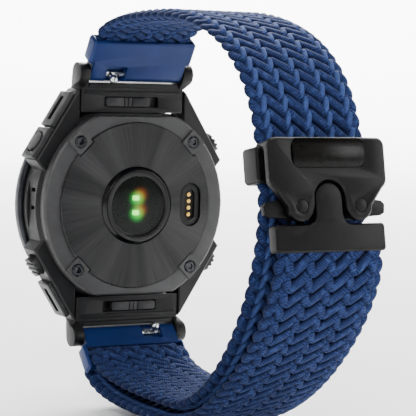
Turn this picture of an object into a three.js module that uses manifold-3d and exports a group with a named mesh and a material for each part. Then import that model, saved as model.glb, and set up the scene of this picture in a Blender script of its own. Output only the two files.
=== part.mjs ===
// Multisport smartwatch on a braided stretch band with a parachute-style quick-release buckle.
// Millimetres. +Z is 12 o'clock, X is the wrist's axis, the case back looks to -Y and the glass to +Y.
// The origin is the centre of the wrist space.
import * as THREE from 'three';
import { mergeVertices } from 'three/addons/utils/BufferGeometryUtils.js';
import Module from 'manifold-3d';

const wasm = await Module();
wasm.setup();

// ---------------------------------------------------------------- sizes
const GAP = 0.2; // general static clearance
const RUN = 0.05; // radial running clearance

// case
const CASE_R = 24.5;
const CASE_REAR = 40.5;
const CASE_FRONT = 48.8;
const CASE_WALL = 5.1;
const CAVITY_R = CASE_R - CASE_WALL;
const MID_Y = 44.3; // height of the buttons in the case
const FLAT_CUT = 2.8;
const FLAT_Z = CASE_R - FLAT_CUT; // flats that the strap adapters sit against
const FLANK_DEG = 32; // direction of the four slanted flanks
const FLANK_STEP = 2.1; // how far those flanks stand out from the round case
const FLANK_D = CASE_R + FLANK_STEP;
const HORN_X = 13.9; // inner face of a lug horn
const LUG_OUT = 3.7; // lug pin, out from the flat
const LUG_Z = FLAT_Z + LUG_OUT;
const HORN_TIP = 2.0; // horn beyond the lug pin
const HORN_ROOT = 15.4; // horn's length on its inner face
const HORN_TOP = LUG_Z + HORN_TIP;
const LUG_Y = 44.6;
const LUG_PIN_R = 0.9;
const LUG_PIN_REACH = 1.2; // how far the lug pin enters a horn

// bezel, glass, display
const BEZEL_LIP = 1.0; // how far the bezel stands out from the case
const BEZEL_R = CASE_R + BEZEL_LIP;
const BEZEL_FRONT = 52.4;
const BEZEL_RIM = 3.8; // width of the bezel around the glass
const GLASS_R = BEZEL_R - BEZEL_RIM;
const GLASS_T = 1.9;
const GLASS_SEAT = 51.1;
const GLASS_BORDER = 1.4; // glass that rests on the bezel's step
const DISPLAY_R = GLASS_R - GLASS_BORDER;
const DISPLAY_T = 1.3;

// back cover
const PLATE_INSET = 0.7;
const PLATE_R = CASE_R - PLATE_INSET;
const PLATE_FLAT = FLAT_Z - PLATE_INSET;
const PLATE_T = 2.4;
const PLATE_RIM = 4.0; // width of the cover around the brushed disc
const DISC_R = PLATE_R - PLATE_RIM;
const DISC_T = 0.6;
const SCREW_INSET = 2.5; // cover screws, in from the cover's edge
const SCREW_PCR = PLATE_R - SCREW_INSET;
const SCREW_HEAD_R = 1.4;
const SCREW_HEAD_T = 0.8;
const SCREW_R = 0.8;
const SCREW_L = 4.6;
const PAD_W = 4.4; // square pad around a cover screw
const PAD_T = 0.5;

// optical sensor
const RING_R = 9.2;
const RING_TOP_R = 8.5;
const RING_H = 1.5;
const WINDOW_R = 6.95;
const WINDOW_T = 0.9;
const BOARD_T = 0.6;
const DIODE_R = 4.15;
const DIODE_W = 2.5;
const DIODE_H = 1.7;
const LED_Z = 1.75;

// charging port
const PORT_SHIFT = 0.1; // outwards from the middle of the disc's free band
const PORT_X = (RING_R + DISC_R) / 2 + PORT_SHIFT;
const PORT_W = 5.6;
const PORT_H = 10.5;
const PORT_IN_W = 2.8;
const PORT_IN_H = 7.3;
const PIN_PITCH = 1.6;
const CONTACT_R = 0.5;

// inside the case
const BOARD_INSET = 2.8;
const MOTOR_R = 3.4;
const MOTOR_GAP = 1.6;
const BATTERY_H = 20;
const BATTERY_GAP = 3.0;

// buttons
const CAP_R = 2.5;
const CAP_T = 2.1;
const STEM_R = 1.2;
const TRAVEL = 0.6;

// adapter between case and band
const ADAPTER_W = 27.2;
const ADAPTER_Y0 = 40.7;
const ADAPTER_Y1 = 47.2;
const ADAPTER_RISE = 4.6; // adapter beyond the lug pin
const ADAPTER_TOP = LUG_Z + ADAPTER_RISE;
const BAR_Y = 40.8; // quick-release bar's axis
const BAR_LIFT = 1.2;
const BAR_Z = ADAPTER_TOP + BAR_LIFT;
const EAR_IN = 12.4;
const EAR_OUT = 15.0;
const EAR_R = 2.4;
const LATCH_L = 11.6;
const LATCH_H = 2.0;
const LATCH_T = 1.3;
const LATCH_TRAVEL = 2.0;
const LATCH_DROP = 1.0; // latch, in from the lug pin
const LATCH_Z = LUG_Z - LATCH_DROP;

// quick-release bar
const TUBE_R = 0.9;
const BORE_R = 0.5;
const TIP_REACH = 1.4; // how far a tip enters an ear
const LEVER_X = -6.5;
const LEVER_TRAVEL = 1.6;

// metal connector
const UPPER_TILT = 31;
const LOWER_TILT = 42;
const NECK_GAP = 0.3; // between the connector's neck and an ear
const NECK_X = EAR_IN - NECK_GAP;
const NECK_R = 1.9;
const BODY_X = 13.5;
const BODY_Z0 = 3.2;
const BODY_Z1 = 9.6;
const BODY_T = 3.8;
const END_BAR_R = 1.2;
const END_BAR_Z = 8.3;

// strap
const STRAP_W = 25.0;
const STRAP_T = 2.0;
const STRAP_GAP = 0.35;
const CREST = [6, 44.5];
const LOW_IN = [-1, -39.6];
const LOW_OUT = [2, -43.9];

// buckle; its own frame has the strap's middle as origin and -Y outward
const BUCKLE_Y = -38.0;
const BUCKLE_Z = 11.0;
const BUCKLE_TILT = 11;
const KEEPER_W = 28.8;
const KEEPER_IN_W = 26.6;
const KEEPER_IN_T = 3.6;
const KEEPER_WALL = 1.0;
const KEEPER_Z0 = -0.4;
const KEEPER_Z1 = 7.0;
const LEVER_LAYER = 1.6; // space for the release levers
const COVER_T = 2.2;
const COVER_W = 27.7;
const COVER_TOP = 8.25;
const COVER_BOTTOM = -8.25;
const RIVET_X = 6.95;
const RIVET_Z = -5.45;
const RIVET_R = 0.8;
const RIVET_HEAD_R = 1.35;
const ARCH_W = 7.4;
const ARCH_TOP = -0.2;
const TONGUE_W = 6.1;
const TONGUE_TOP = -0.85;
const STEM_W = 4.6;
const STEM_TOP = 4.2;
const TBAR_W = 26.0;
const TBAR_TOP = -9.0;
const TBAR_BOTTOM = -14.6;
const TBAR_T = 3.1;
const TBAR_WALL = 0.4;
const POCKET_DEPTH = 3.6;
const INSET_W = 16.9;
const INSET_H = 5.7;

// ---------------------------------------------------------------- materials
const mat = (color, roughness, metalness, extra = {}) =>
  new THREE.MeshStandardMaterial({ color, roughness, metalness, ...extra });
const M = {
  polymer: mat(0x18191a, 0.6, 0.0),
  guard: mat(0x4a4b4c, 0.45, 0.6),
  bezel: mat(0x2c2e30, 0.35, 0.9),
  cover: mat(0x555657, 0.5, 0.7),
  disc: mat(0x2f3031, 0.35, 0.9),
  steel: mat(0xb9bcc0, 0.25, 1.0),
  gold: mat(0xd9b45a, 0.3, 1.0),
  glass: mat(0x0d0f12, 0.08, 0.0, { transparent: true, opacity: 0.6 }),
  display: mat(0x08090b, 0.3, 0.0),
  board: mat(0x1e5a36, 0.6, 0.1),
  led: mat(0x6be07a, 0.3, 0.0),
  diode: mat(0x123a2c, 0.2, 0.1),
  foil: mat(0x9a9da1, 0.4, 0.6),
  rubber: mat(0x101010, 0.8, 0.0),
  blue: mat(0x25386a, 0.35, 0.9),
  strap: mat(0x3a4e7c, 0.9, 0.0),
  buckle: mat(0x222223, 0.45, 0.3),
  inset: mat(0x2b2a2a, 0.15, 0.6),
};

// ---------------------------------------------------------------- helpers
const rad = THREE.MathUtils.degToRad;

const solid = (geometry) => {
  geometry.deleteAttribute('normal');
  geometry.deleteAttribute('uv');
  const g = mergeVertices(geometry, 1e-4);
  return new wasm.Manifold(
    new wasm.Mesh({
      numProp: 3,
      vertProperties: new Float32Array(g.attributes.position.array),
      triVerts: new Uint32Array(g.index.array),
    }),
  );
};

const box = (x0, x1, y0, y1, z0, z1) => {
  const g = new THREE.BoxGeometry(x1 - x0, y1 - y0, z1 - z0);
  g.translate((x0 + x1) / 2, (y0 + y1) / 2, (z0 + z1) / 2);
  return solid(g);
};

// cylinder from p along a named axis over [a, b]
const cyl = (axis, r, a, b, u = 0, v = 0, segments = 20) => {
  const g = new THREE.CylinderGeometry(r, r, b - a, segments);
  g.translate(0, (a + b) / 2, 0);
  if (axis === 'x') {
    g.rotateZ(-Math.PI / 2);
    g.translate(0, u, v);
  }
  if (axis === 'y') g.translate(u, 0, v);
  if (axis === 'z') {
    g.rotateX(Math.PI / 2);
    g.translate(u, v, 0);
  }
  return solid(g);
};

// a body of revolution about Y; profile is [radius, y] pairs
const lathe = (profile, segments = 44) =>
  solid(new THREE.LatheGeometry(profile.map((p) => new THREE.Vector2(p[0], p[1])), segments));

// the outline's points with repeats left out
const tidy = (shape, curveSegments) => {
  const kept = [];
  for (const p of shape.getPoints(curveSegments)) {
    const last = kept[kept.length - 1];
    if (!last || last.distanceTo(p) > 2e-3) kept.push(p);
  }
  if (kept[0].distanceTo(kept[kept.length - 1]) < 2e-3) kept.pop();
  return new THREE.Shape(kept);
};

const extrude = (shape, depth, bevel, curveSegments) => {
  const g = new THREE.ExtrudeGeometry(tidy(shape, curveSegments), {
    depth: depth - 2 * bevel,
    bevelEnabled: bevel > 0,
    bevelThickness: bevel,
    bevelSize: bevel,
    bevelOffset: -bevel,
    bevelSegments: 1,
    curveSegments,
  });
  g.translate(0, 0, bevel);
  return g;
};

// an outline drawn in X and Z, filled from y0 to y1
const slab = (shape, y0, y1, bevel = 0, curveSegments = 3) => {
  const g = extrude(shape, y1 - y0, bevel, curveSegments);
  g.rotateX(Math.PI / 2);
  g.translate(0, y1, 0);
  return solid(g);
};

// an outline drawn in Y and Z, filled from x0 to x1
const across = (shape, x0, x1, bevel = 0, curveSegments = 3) => {
  const g = extrude(shape, x1 - x0, bevel, curveSegments);
  const turn = new THREE.Matrix4().makeBasis(
    new THREE.Vector3(0, 1, 0),
    new THREE.Vector3(0, 0, 1),
    new THREE.Vector3(1, 0, 0),
  );
  g.applyMatrix4(turn);
  g.translate(x0, 0, 0);
  return solid(g);
};

const roundRect = (w, h, r, cx = 0, cy = 0) => {
  const s = new THREE.Shape();
  const x = cx - w / 2;
  const y = cy - h / 2;
  s.moveTo(x + r, y);
  s.lineTo(x + w - r, y);
  s.absarc(x + w - r, y + r, r, -Math.PI / 2, 0);
  s.lineTo(x + w, y + h - r);
  s.absarc(x + w - r, y + h - r, r, 0, Math.PI / 2);
  s.lineTo(x + r, y + h);
  s.absarc(x + r, y + h - r, r, Math.PI / 2, Math.PI);
  s.lineTo(x, y + r);
  s.absarc(x + r, y + r, r, Math.PI, 1.5 * Math.PI);
  return s;
};

const polygon = (points) => new THREE.Shape(points.map((p) => new THREE.Vector2(p[0], p[1])));

const root = new THREE.Group();
root.name = 'braided_band_smartwatch';

const toMesh = (name, body, material) => {
  const out = body.asOriginal().simplify(0.004).getMesh();
  const g = new THREE.BufferGeometry();
  g.setAttribute('position', new THREE.BufferAttribute(new Float32Array(out.vertProperties), 3));
  g.setIndex(new THREE.BufferAttribute(new Uint32Array(out.triVerts), 1));
  g.computeVertexNormals();
  const mesh = new THREE.Mesh(g, material);
  mesh.name = name;
  return mesh;
};

const node = (name, body, material, parent = root) => {
  const mesh = toMesh(name, body, material);
  parent.add(mesh);
  return mesh;
};

// unit vector pair of a flank: out from the centre, and along the flank towards 12 or 6 o'clock
const flank = (sideX, sideZ) => {
  const c = Math.cos(rad(FLANK_DEG));
  const s = Math.sin(rad(FLANK_DEG));
  return { n: [sideX * c, sideZ * s], t: [-sideX * s, sideZ * c] };
};

const onFlank = (f, out, along) => [
  f.n[0] * out + f.t[0] * along,
  f.n[1] * out + f.t[1] * along,
];

// a body built with its outward axis on +X at the origin is carried to a direction in the case's plane
const aim = (body, degrees) => body.rotate([0, -degrees, 0]);

// ---------------------------------------------------------------- case
const buttonDegrees = {
  button_start: 180 - FLANK_DEG,
  button_back: 180 + FLANK_DEG,
  button_light: FLANK_DEG,
  button_up: 0,
  button_down: -FLANK_DEG,
};
const capOuter = { corner: FLANK_D + 1.6, side: CASE_R + 1.3 };
const capSeat = (out) => out - CAP_T - TRAVEL - GAP;

const hornOutline = (sideX, sideZ) => {
  const f = flank(sideX, sideZ);
  const tipAlong = (HORN_TOP - f.n[1] * sideZ * FLANK_D) / (f.t[1] * sideZ);
  const p = [
    [sideX * HORN_X, sideZ * (HORN_TOP - HORN_ROOT)],
    [sideX * HORN_X, sideZ * HORN_TOP],
    onFlank(f, FLANK_D, Math.min(tipAlong, 14.8)),
    onFlank(f, FLANK_D, -4.2),
    onFlank(f, CASE_R - 1.5, -5.4),
  ];
  return polygon(sideX * sideZ > 0 ? p.reverse() : p);
};

let mid = lathe([
  [CAVITY_R, CASE_REAR + 0.4],
  [CASE_R - 1.0, CASE_REAR],
  [CASE_R, CASE_REAR + 1.0],
  [CASE_R, CASE_FRONT - 0.6],
  [CASE_R - 0.6, CASE_FRONT],
  [CAVITY_R, CASE_FRONT],
  [CAVITY_R, CASE_REAR + 0.4],
], 60);
mid = mid.add(
  cyl('y', CASE_R - 1.0, CASE_REAR, CASE_REAR + 1.2, 0, 0, 60).subtract(
    cyl('y', CAVITY_R, CASE_REAR - 1, CASE_REAR + 2, 0, 0, 60),
  ),
);
for (const sx of [-1, 1]) {
  for (const sz of [-1, 1]) {
    mid = mid.add(slab(hornOutline(sx, sz), CASE_REAR + 0.2, CASE_FRONT - 1.2, 0.4));
  }
}
mid = mid.subtract(cyl('y', CAVITY_R, CASE_REAR - 1, CASE_FRONT + 1, 0, 0, 60));
for (const sz of [-1, 1]) {
  const z = [sz * FLAT_Z, sz * 40].sort((a, b) => a - b);
  mid = mid.subtract(box(-HORN_X, HORN_X, CASE_REAR - 1, ADAPTER_Y1 + GAP, z[0], z[1]));
  mid = mid.subtract(cyl('x', LUG_PIN_R + RUN, -40, 40, LUG_Y, sz * LUG_Z, 24));
}
const gasketR0 = CAVITY_R + 0.1;
const gasketR1 = CAVITY_R + 0.8;
mid = mid.subtract(cyl('y', gasketR1 + 0.05, CASE_REAR - 1, CASE_REAR + 0.6, 0, 0, 60));
for (const [name, deg] of Object.entries(buttonDegrees)) {
  const out = name === 'button_up' ? capOuter.side : capOuter.corner;
  const bore = cyl('x', STEM_R + RUN, CAVITY_R - 3, out, MID_Y, 0, 20);
  const seat = cyl('x', CAP_R + 0.35, capSeat(out), out + 3, MID_Y, 0, 28);
  mid = mid.subtract(aim(bore.add(seat), deg));
}
const screwDegrees = [45, 135, 225, 315];
const polar = (r, deg) => [r * Math.cos(rad(deg)), r * Math.sin(rad(deg))];
for (const deg of screwDegrees) {
  const [x, z] = polar(SCREW_PCR, deg);
  mid = mid.subtract(cyl('y', SCREW_R + RUN, CASE_REAR - 1, CASE_REAR + SCREW_L - 1, x, z, 20));
}
// recess with the two vent slots on the left flank
mid = mid.subtract(box(-CASE_R - 1, -CASE_R + 0.7, 42.0, 46.6, -5.8, 7.2));
mid = mid.subtract(box(-CASE_R - 1, -CASE_R + 1.7, 43.2, 45.4, 3.0, 3.9));
mid = mid.subtract(box(-CASE_R - 1, -CASE_R + 1.7, 43.2, 45.4, -1.2, -0.3));
node('mid_case', mid, M.polymer);

node(
  'bezel',
  lathe([
    [DISPLAY_R + 0.3, CASE_FRONT + 0.02],
    [BEZEL_R - 0.5, CASE_FRONT + 0.02],
    [BEZEL_R, CASE_FRONT + 0.5],
    [BEZEL_R, BEZEL_FRONT - 1.2],
    [BEZEL_R - 1.2, BEZEL_FRONT],
    [GLASS_R + 0.12, BEZEL_FRONT],
    [GLASS_R + 0.12, GLASS_SEAT],
    [DISPLAY_R + 0.3, GLASS_SEAT],
    [DISPLAY_R + 0.3, CASE_FRONT + 0.02],
  ], 60),
  M.bezel,
);
node(
  'front_glass',
  lathe([
    [0, GLASS_SEAT + 0.02],
    [GLASS_R, GLASS_SEAT + 0.02],
    [GLASS_R, GLASS_SEAT + GLASS_T - 0.5],
    [GLASS_R - 0.6, GLASS_SEAT + GLASS_T],
    [0, GLASS_SEAT + GLASS_T],
  ]),
  M.glass,
);
node('display_panel', cyl('y', DISPLAY_R, GLASS_SEAT - DISPLAY_T - 0.1, GLASS_SEAT - 0.1, 0, 0, 28), M.display);

// back cover
const plateRear = CASE_REAR - 0.05 - PLATE_T;
const plateFront = CASE_REAR - 0.05;
let cover = lathe([
  [0, plateRear],
  [PLATE_R - 0.5, plateRear],
  [PLATE_R, plateRear + 0.5],
  [PLATE_R, plateFront],
  [0, plateFront],
], 60);
cover = cover.intersect(box(-40, 40, plateRear - 5, plateFront + 5, -PLATE_FLAT, PLATE_FLAT));
for (const deg of screwDegrees) {
  const [x, z] = polar(SCREW_PCR, deg);
  const pad = box(-PAD_W / 2, PAD_W / 2, plateRear - PAD_T, plateRear + 0.4, -PAD_W / 2, PAD_W / 2);
  cover = cover.add(pad.rotate([0, 45, 0]).translate([x, 0, z]));
}
const headTop = plateRear - PAD_T - 0.15;
const headBase = headTop + SCREW_HEAD_T;
for (const deg of screwDegrees) {
  const [x, z] = polar(SCREW_PCR, deg);
  cover = cover.subtract(cyl('y', SCREW_HEAD_R + 0.15, plateRear - 2, headBase, x, z, 20));
  cover = cover.subtract(cyl('y', SCREW_R + RUN, plateRear - 2, plateFront + 1, x, z, 24));
}
const ringSkirtR = WINDOW_R + 0.1;
cover = cover.subtract(cyl('y', ringSkirtR + 0.45, plateRear - 1, plateFront + 1, 0, 0, 60));
cover = cover.subtract(slab(roundRect(PORT_W + 0.1, PORT_H + 0.1, PORT_W / 2, PORT_X), plateRear - 1, plateFront + 1));
node('back_cover', cover, M.cover);

const discRear = plateRear - DISC_T;
let disc = lathe([
  [0, plateRear - 0.01],
  [0, discRear],
  [DISC_R - 0.2, discRear],
  [DISC_R, discRear + 0.2],
  [DISC_R, plateRear - 0.01],
  [0, plateRear - 0.01],
], 60);
disc = disc.subtract(cyl('y', RING_R + 0.12, discRear - 1, plateRear + 1, 0, 0, 44));
disc = disc.subtract(slab(roundRect(PORT_W, PORT_H, PORT_W / 2 - 0.01, PORT_X), discRear - 1, plateRear + 1));
for (const deg of screwDegrees) {
  const [x, z] = polar(SCREW_PCR, deg);
  const w = PAD_W / 2 + 0.3;
  disc = disc.subtract(box(-w, w, discRear - 1, plateRear + 1, -w, w).rotate([0, 45, 0]).translate([x, 0, z]));
}
node('brushed_disc', disc, M.disc);

// six-lobed drive recess
const torx = (r, y0, y1) => {
  const s = new THREE.Shape();
  for (let i = 0; i < 18; i += 1) {
    const a = (i / 18) * 2 * Math.PI;
    const q = r * (0.86 + 0.14 * Math.cos(6 * a));
    if (i === 0) s.moveTo(q * Math.cos(a), q * Math.sin(a));
    else s.lineTo(q * Math.cos(a), q * Math.sin(a));
  }
  return slab(s, y0, y1);
};
screwDegrees.forEach((deg, i) => {
  const [x, z] = polar(SCREW_PCR, deg);
  let screw = lathe([
    [0, headTop],
    [SCREW_HEAD_R - 0.2, headTop],
    [SCREW_HEAD_R, headTop + 0.2],
    [SCREW_HEAD_R, headBase - 0.02],
    [SCREW_R, headBase - 0.02],
    [SCREW_R, headBase + SCREW_L - 1.4],
    [0, headBase + SCREW_L - 1.4],
  ], 20);
  screw = screw.subtract(torx(0.75, headTop - 1, headTop + 0.5));
  node(`cover_screw_${i + 1}`, screw.translate([x, 0, z]), M.steel);
});

// optical sensor stack
node(
  'sensor_ring',
  lathe([
    [ringSkirtR, plateFront],
    [ringSkirtR, plateRear - RING_H],
    [RING_TOP_R, plateRear - RING_H],
    [RING_R, plateRear - DISC_T + 0.1],
    [RING_R, plateRear - 0.02],
    [ringSkirtR + 0.35, plateRear - 0.02],
    [ringSkirtR + 0.35, plateFront],
    [ringSkirtR, plateFront],
  ]),
  M.disc,
);
const windowTop = plateRear - RING_H + 0.15;
node(
  'sensor_window',
  lathe([
    [0, windowTop - 0.25],
    [WINDOW_R * 0.55, windowTop - 0.18],
    [WINDOW_R, windowTop],
    [WINDOW_R, windowTop + WINDOW_T],
    [0, windowTop + WINDOW_T],
  ], 60),
  M.glass,
);
const diodeTop = windowTop + WINDOW_T + 0.05;
const diodeBase = diodeTop + 0.5;
node('sensor_board', cyl('y', WINDOW_R - 0.05, diodeBase + 0.02, diodeBase + 0.02 + BOARD_T, 0, 0, 28), M.board);
screwDegrees.forEach((deg, i) => {
  const [x, z] = polar(DIODE_R, deg);
  const chip = box(-DIODE_W / 2, DIODE_W / 2, diodeTop, diodeBase, -DIODE_H / 2, DIODE_H / 2);
  node(`photodiode_${i + 1}`, chip.rotate([0, 90 - deg, 0]).translate([x, 0, z]), M.diode);
});
[LED_Z, -LED_Z].forEach((z, i) => {
  node(`sensor_led_${i + 1}`, box(-0.8, 0.8, diodeTop, diodeBase, z - 0.6, z + 0.6), M.led);
});

// charging port
const portFace = plateRear - 0.1;
let port = slab(roundRect(PORT_W - 0.1, PORT_H - 0.1, PORT_W / 2 - 0.06, PORT_X), portFace, plateFront);
port = port.subtract(slab(roundRect(PORT_IN_W, PORT_IN_H, PORT_IN_W / 2 - 0.01, PORT_X), portFace - 1, portFace + 0.8));
const pinZ = [-1.5, -0.5, 0.5, 1.5].map((k) => k * PIN_PITCH);
for (const z of pinZ) {
  port = port.subtract(cyl('y', CONTACT_R + 0.02, portFace, plateFront + 1, PORT_X, z, 20));
}
node('port_housing', port, M.polymer);
pinZ.forEach((z, i) => {
  node(`charge_pin_${i + 1}`, cyl('y', CONTACT_R, portFace + 0.35, plateFront + 0.1, PORT_X, z, 20), M.gold);
});

// inside the case
node(
  'cover_gasket',
  lathe([
    [gasketR0, CASE_REAR - 0.03],
    [gasketR1, CASE_REAR - 0.03],
    [gasketR1, CASE_REAR + 0.55],
    [gasketR0, CASE_REAR + 0.55],
    [gasketR0, CASE_REAR - 0.03],
  ], 60),
  M.rubber,
);
const motorX = -(CAVITY_R - MOTOR_R - MOTOR_GAP);
node('vibration_motor', cyl('y', MOTOR_R, CASE_REAR + 0.4, CASE_REAR + 3.0, motorX, 0, 24), M.steel);
const batteryX0 = motorX + MOTOR_R + MOTOR_GAP / 2;
const batteryX1 = Math.sqrt((CAVITY_R - BATTERY_GAP) ** 2 - (BATTERY_H / 2) ** 2);
const batteryShape = roundRect(batteryX1 - batteryX0, BATTERY_H, 2, (batteryX0 + batteryX1) / 2);
node('battery', slab(batteryShape, CASE_REAR + 0.3, CASE_REAR + 3.3, 0.3, 6), M.foil);
node('main_board', cyl('y', CAVITY_R - BOARD_INSET, CASE_REAR + 4.0, CASE_REAR + 5.0, 0, 0, 60), M.board);

// buttons
for (const [name, deg] of Object.entries(buttonDegrees)) {
  const out = name === 'button_up' ? capOuter.side : capOuter.corner;
  let cap;
  if (name === 'button_start') {
    cap = cyl('x', CAP_R, out - CAP_T, out, MID_Y, 0, 20);
    for (let i = 0; i < 12; i += 1) {
      const groove = box(out - 1.1, out + 1, CAP_R - 0.28, CAP_R + 1, -0.2, 0.2);
      cap = cap.subtract(groove.rotate([i * 30, 0, 0]).translate([0, MID_Y, 0]));
    }
  } else {
    cap = cyl('x', CAP_R, out - CAP_T, out, MID_Y, 0, 24);
    for (const z of [-1.2, 0, 1.2]) {
      cap = cap.subtract(box(out - 0.35, out + 1, MID_Y - 4, MID_Y + 4, z - 0.25, z + 0.25));
    }
  }
  const stem = cyl('x', STEM_R, CAVITY_R - 0.9, out - CAP_T + 0.2, MID_Y, 0, 20);
  const clip = cyl('x', STEM_R + 0.5, CAVITY_R - 0.9, CAVITY_R - 0.35, MID_Y, 0, 20);
  node(name, aim(cap.add(stem).add(clip), deg), M.guard);
}

// guard plates on the left flanks
const plateOnFlank = (along0, along1, thick, deg, slot) => {
  const shape = roundRect(thick, along1 - along0, 0.3, FLANK_D + 0.02 + thick / 2, (along0 + along1) / 2);
  let g = slab(shape, CASE_REAR + 0.7, CASE_FRONT - 1.6, 0.25, 4);
  if (slot) {
    const outer = FLANK_D + 5;
    g = g.subtract(box(FLANK_D - 1, outer, MID_Y - 0.9, MID_Y + 0.9, slot[0], slot[1]));
  }
  return { g, deg };
};
const longPlate = (sign) => {
  const along = [4.7, 14.2].map((v) => sign * v).sort((a, b) => a - b);
  const slot = [6.2, 12.7].map((v) => sign * v).sort((a, b) => a - b);
  return plateOnFlank(along[0], along[1], 1.2, 0, slot).g;
};
node('guard_upper', aim(longPlate(-1), 180 - FLANK_DEG), M.guard);
node('guard_lower', aim(longPlate(1), 180 + FLANK_DEG), M.guard);
let square = slab(roundRect(1.3, 8.2, 0.3, FLANK_D + 0.67, 0), CASE_REAR + 0.5, CASE_FRONT - 1.3, 0.25, 4);
square = square.subtract(cyl('x', CAP_R + 0.35, FLANK_D - 2, FLANK_D + 4, MID_Y, 0, 20));
node('guard_start', aim(square, 180 - FLANK_DEG), M.guard);

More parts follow.
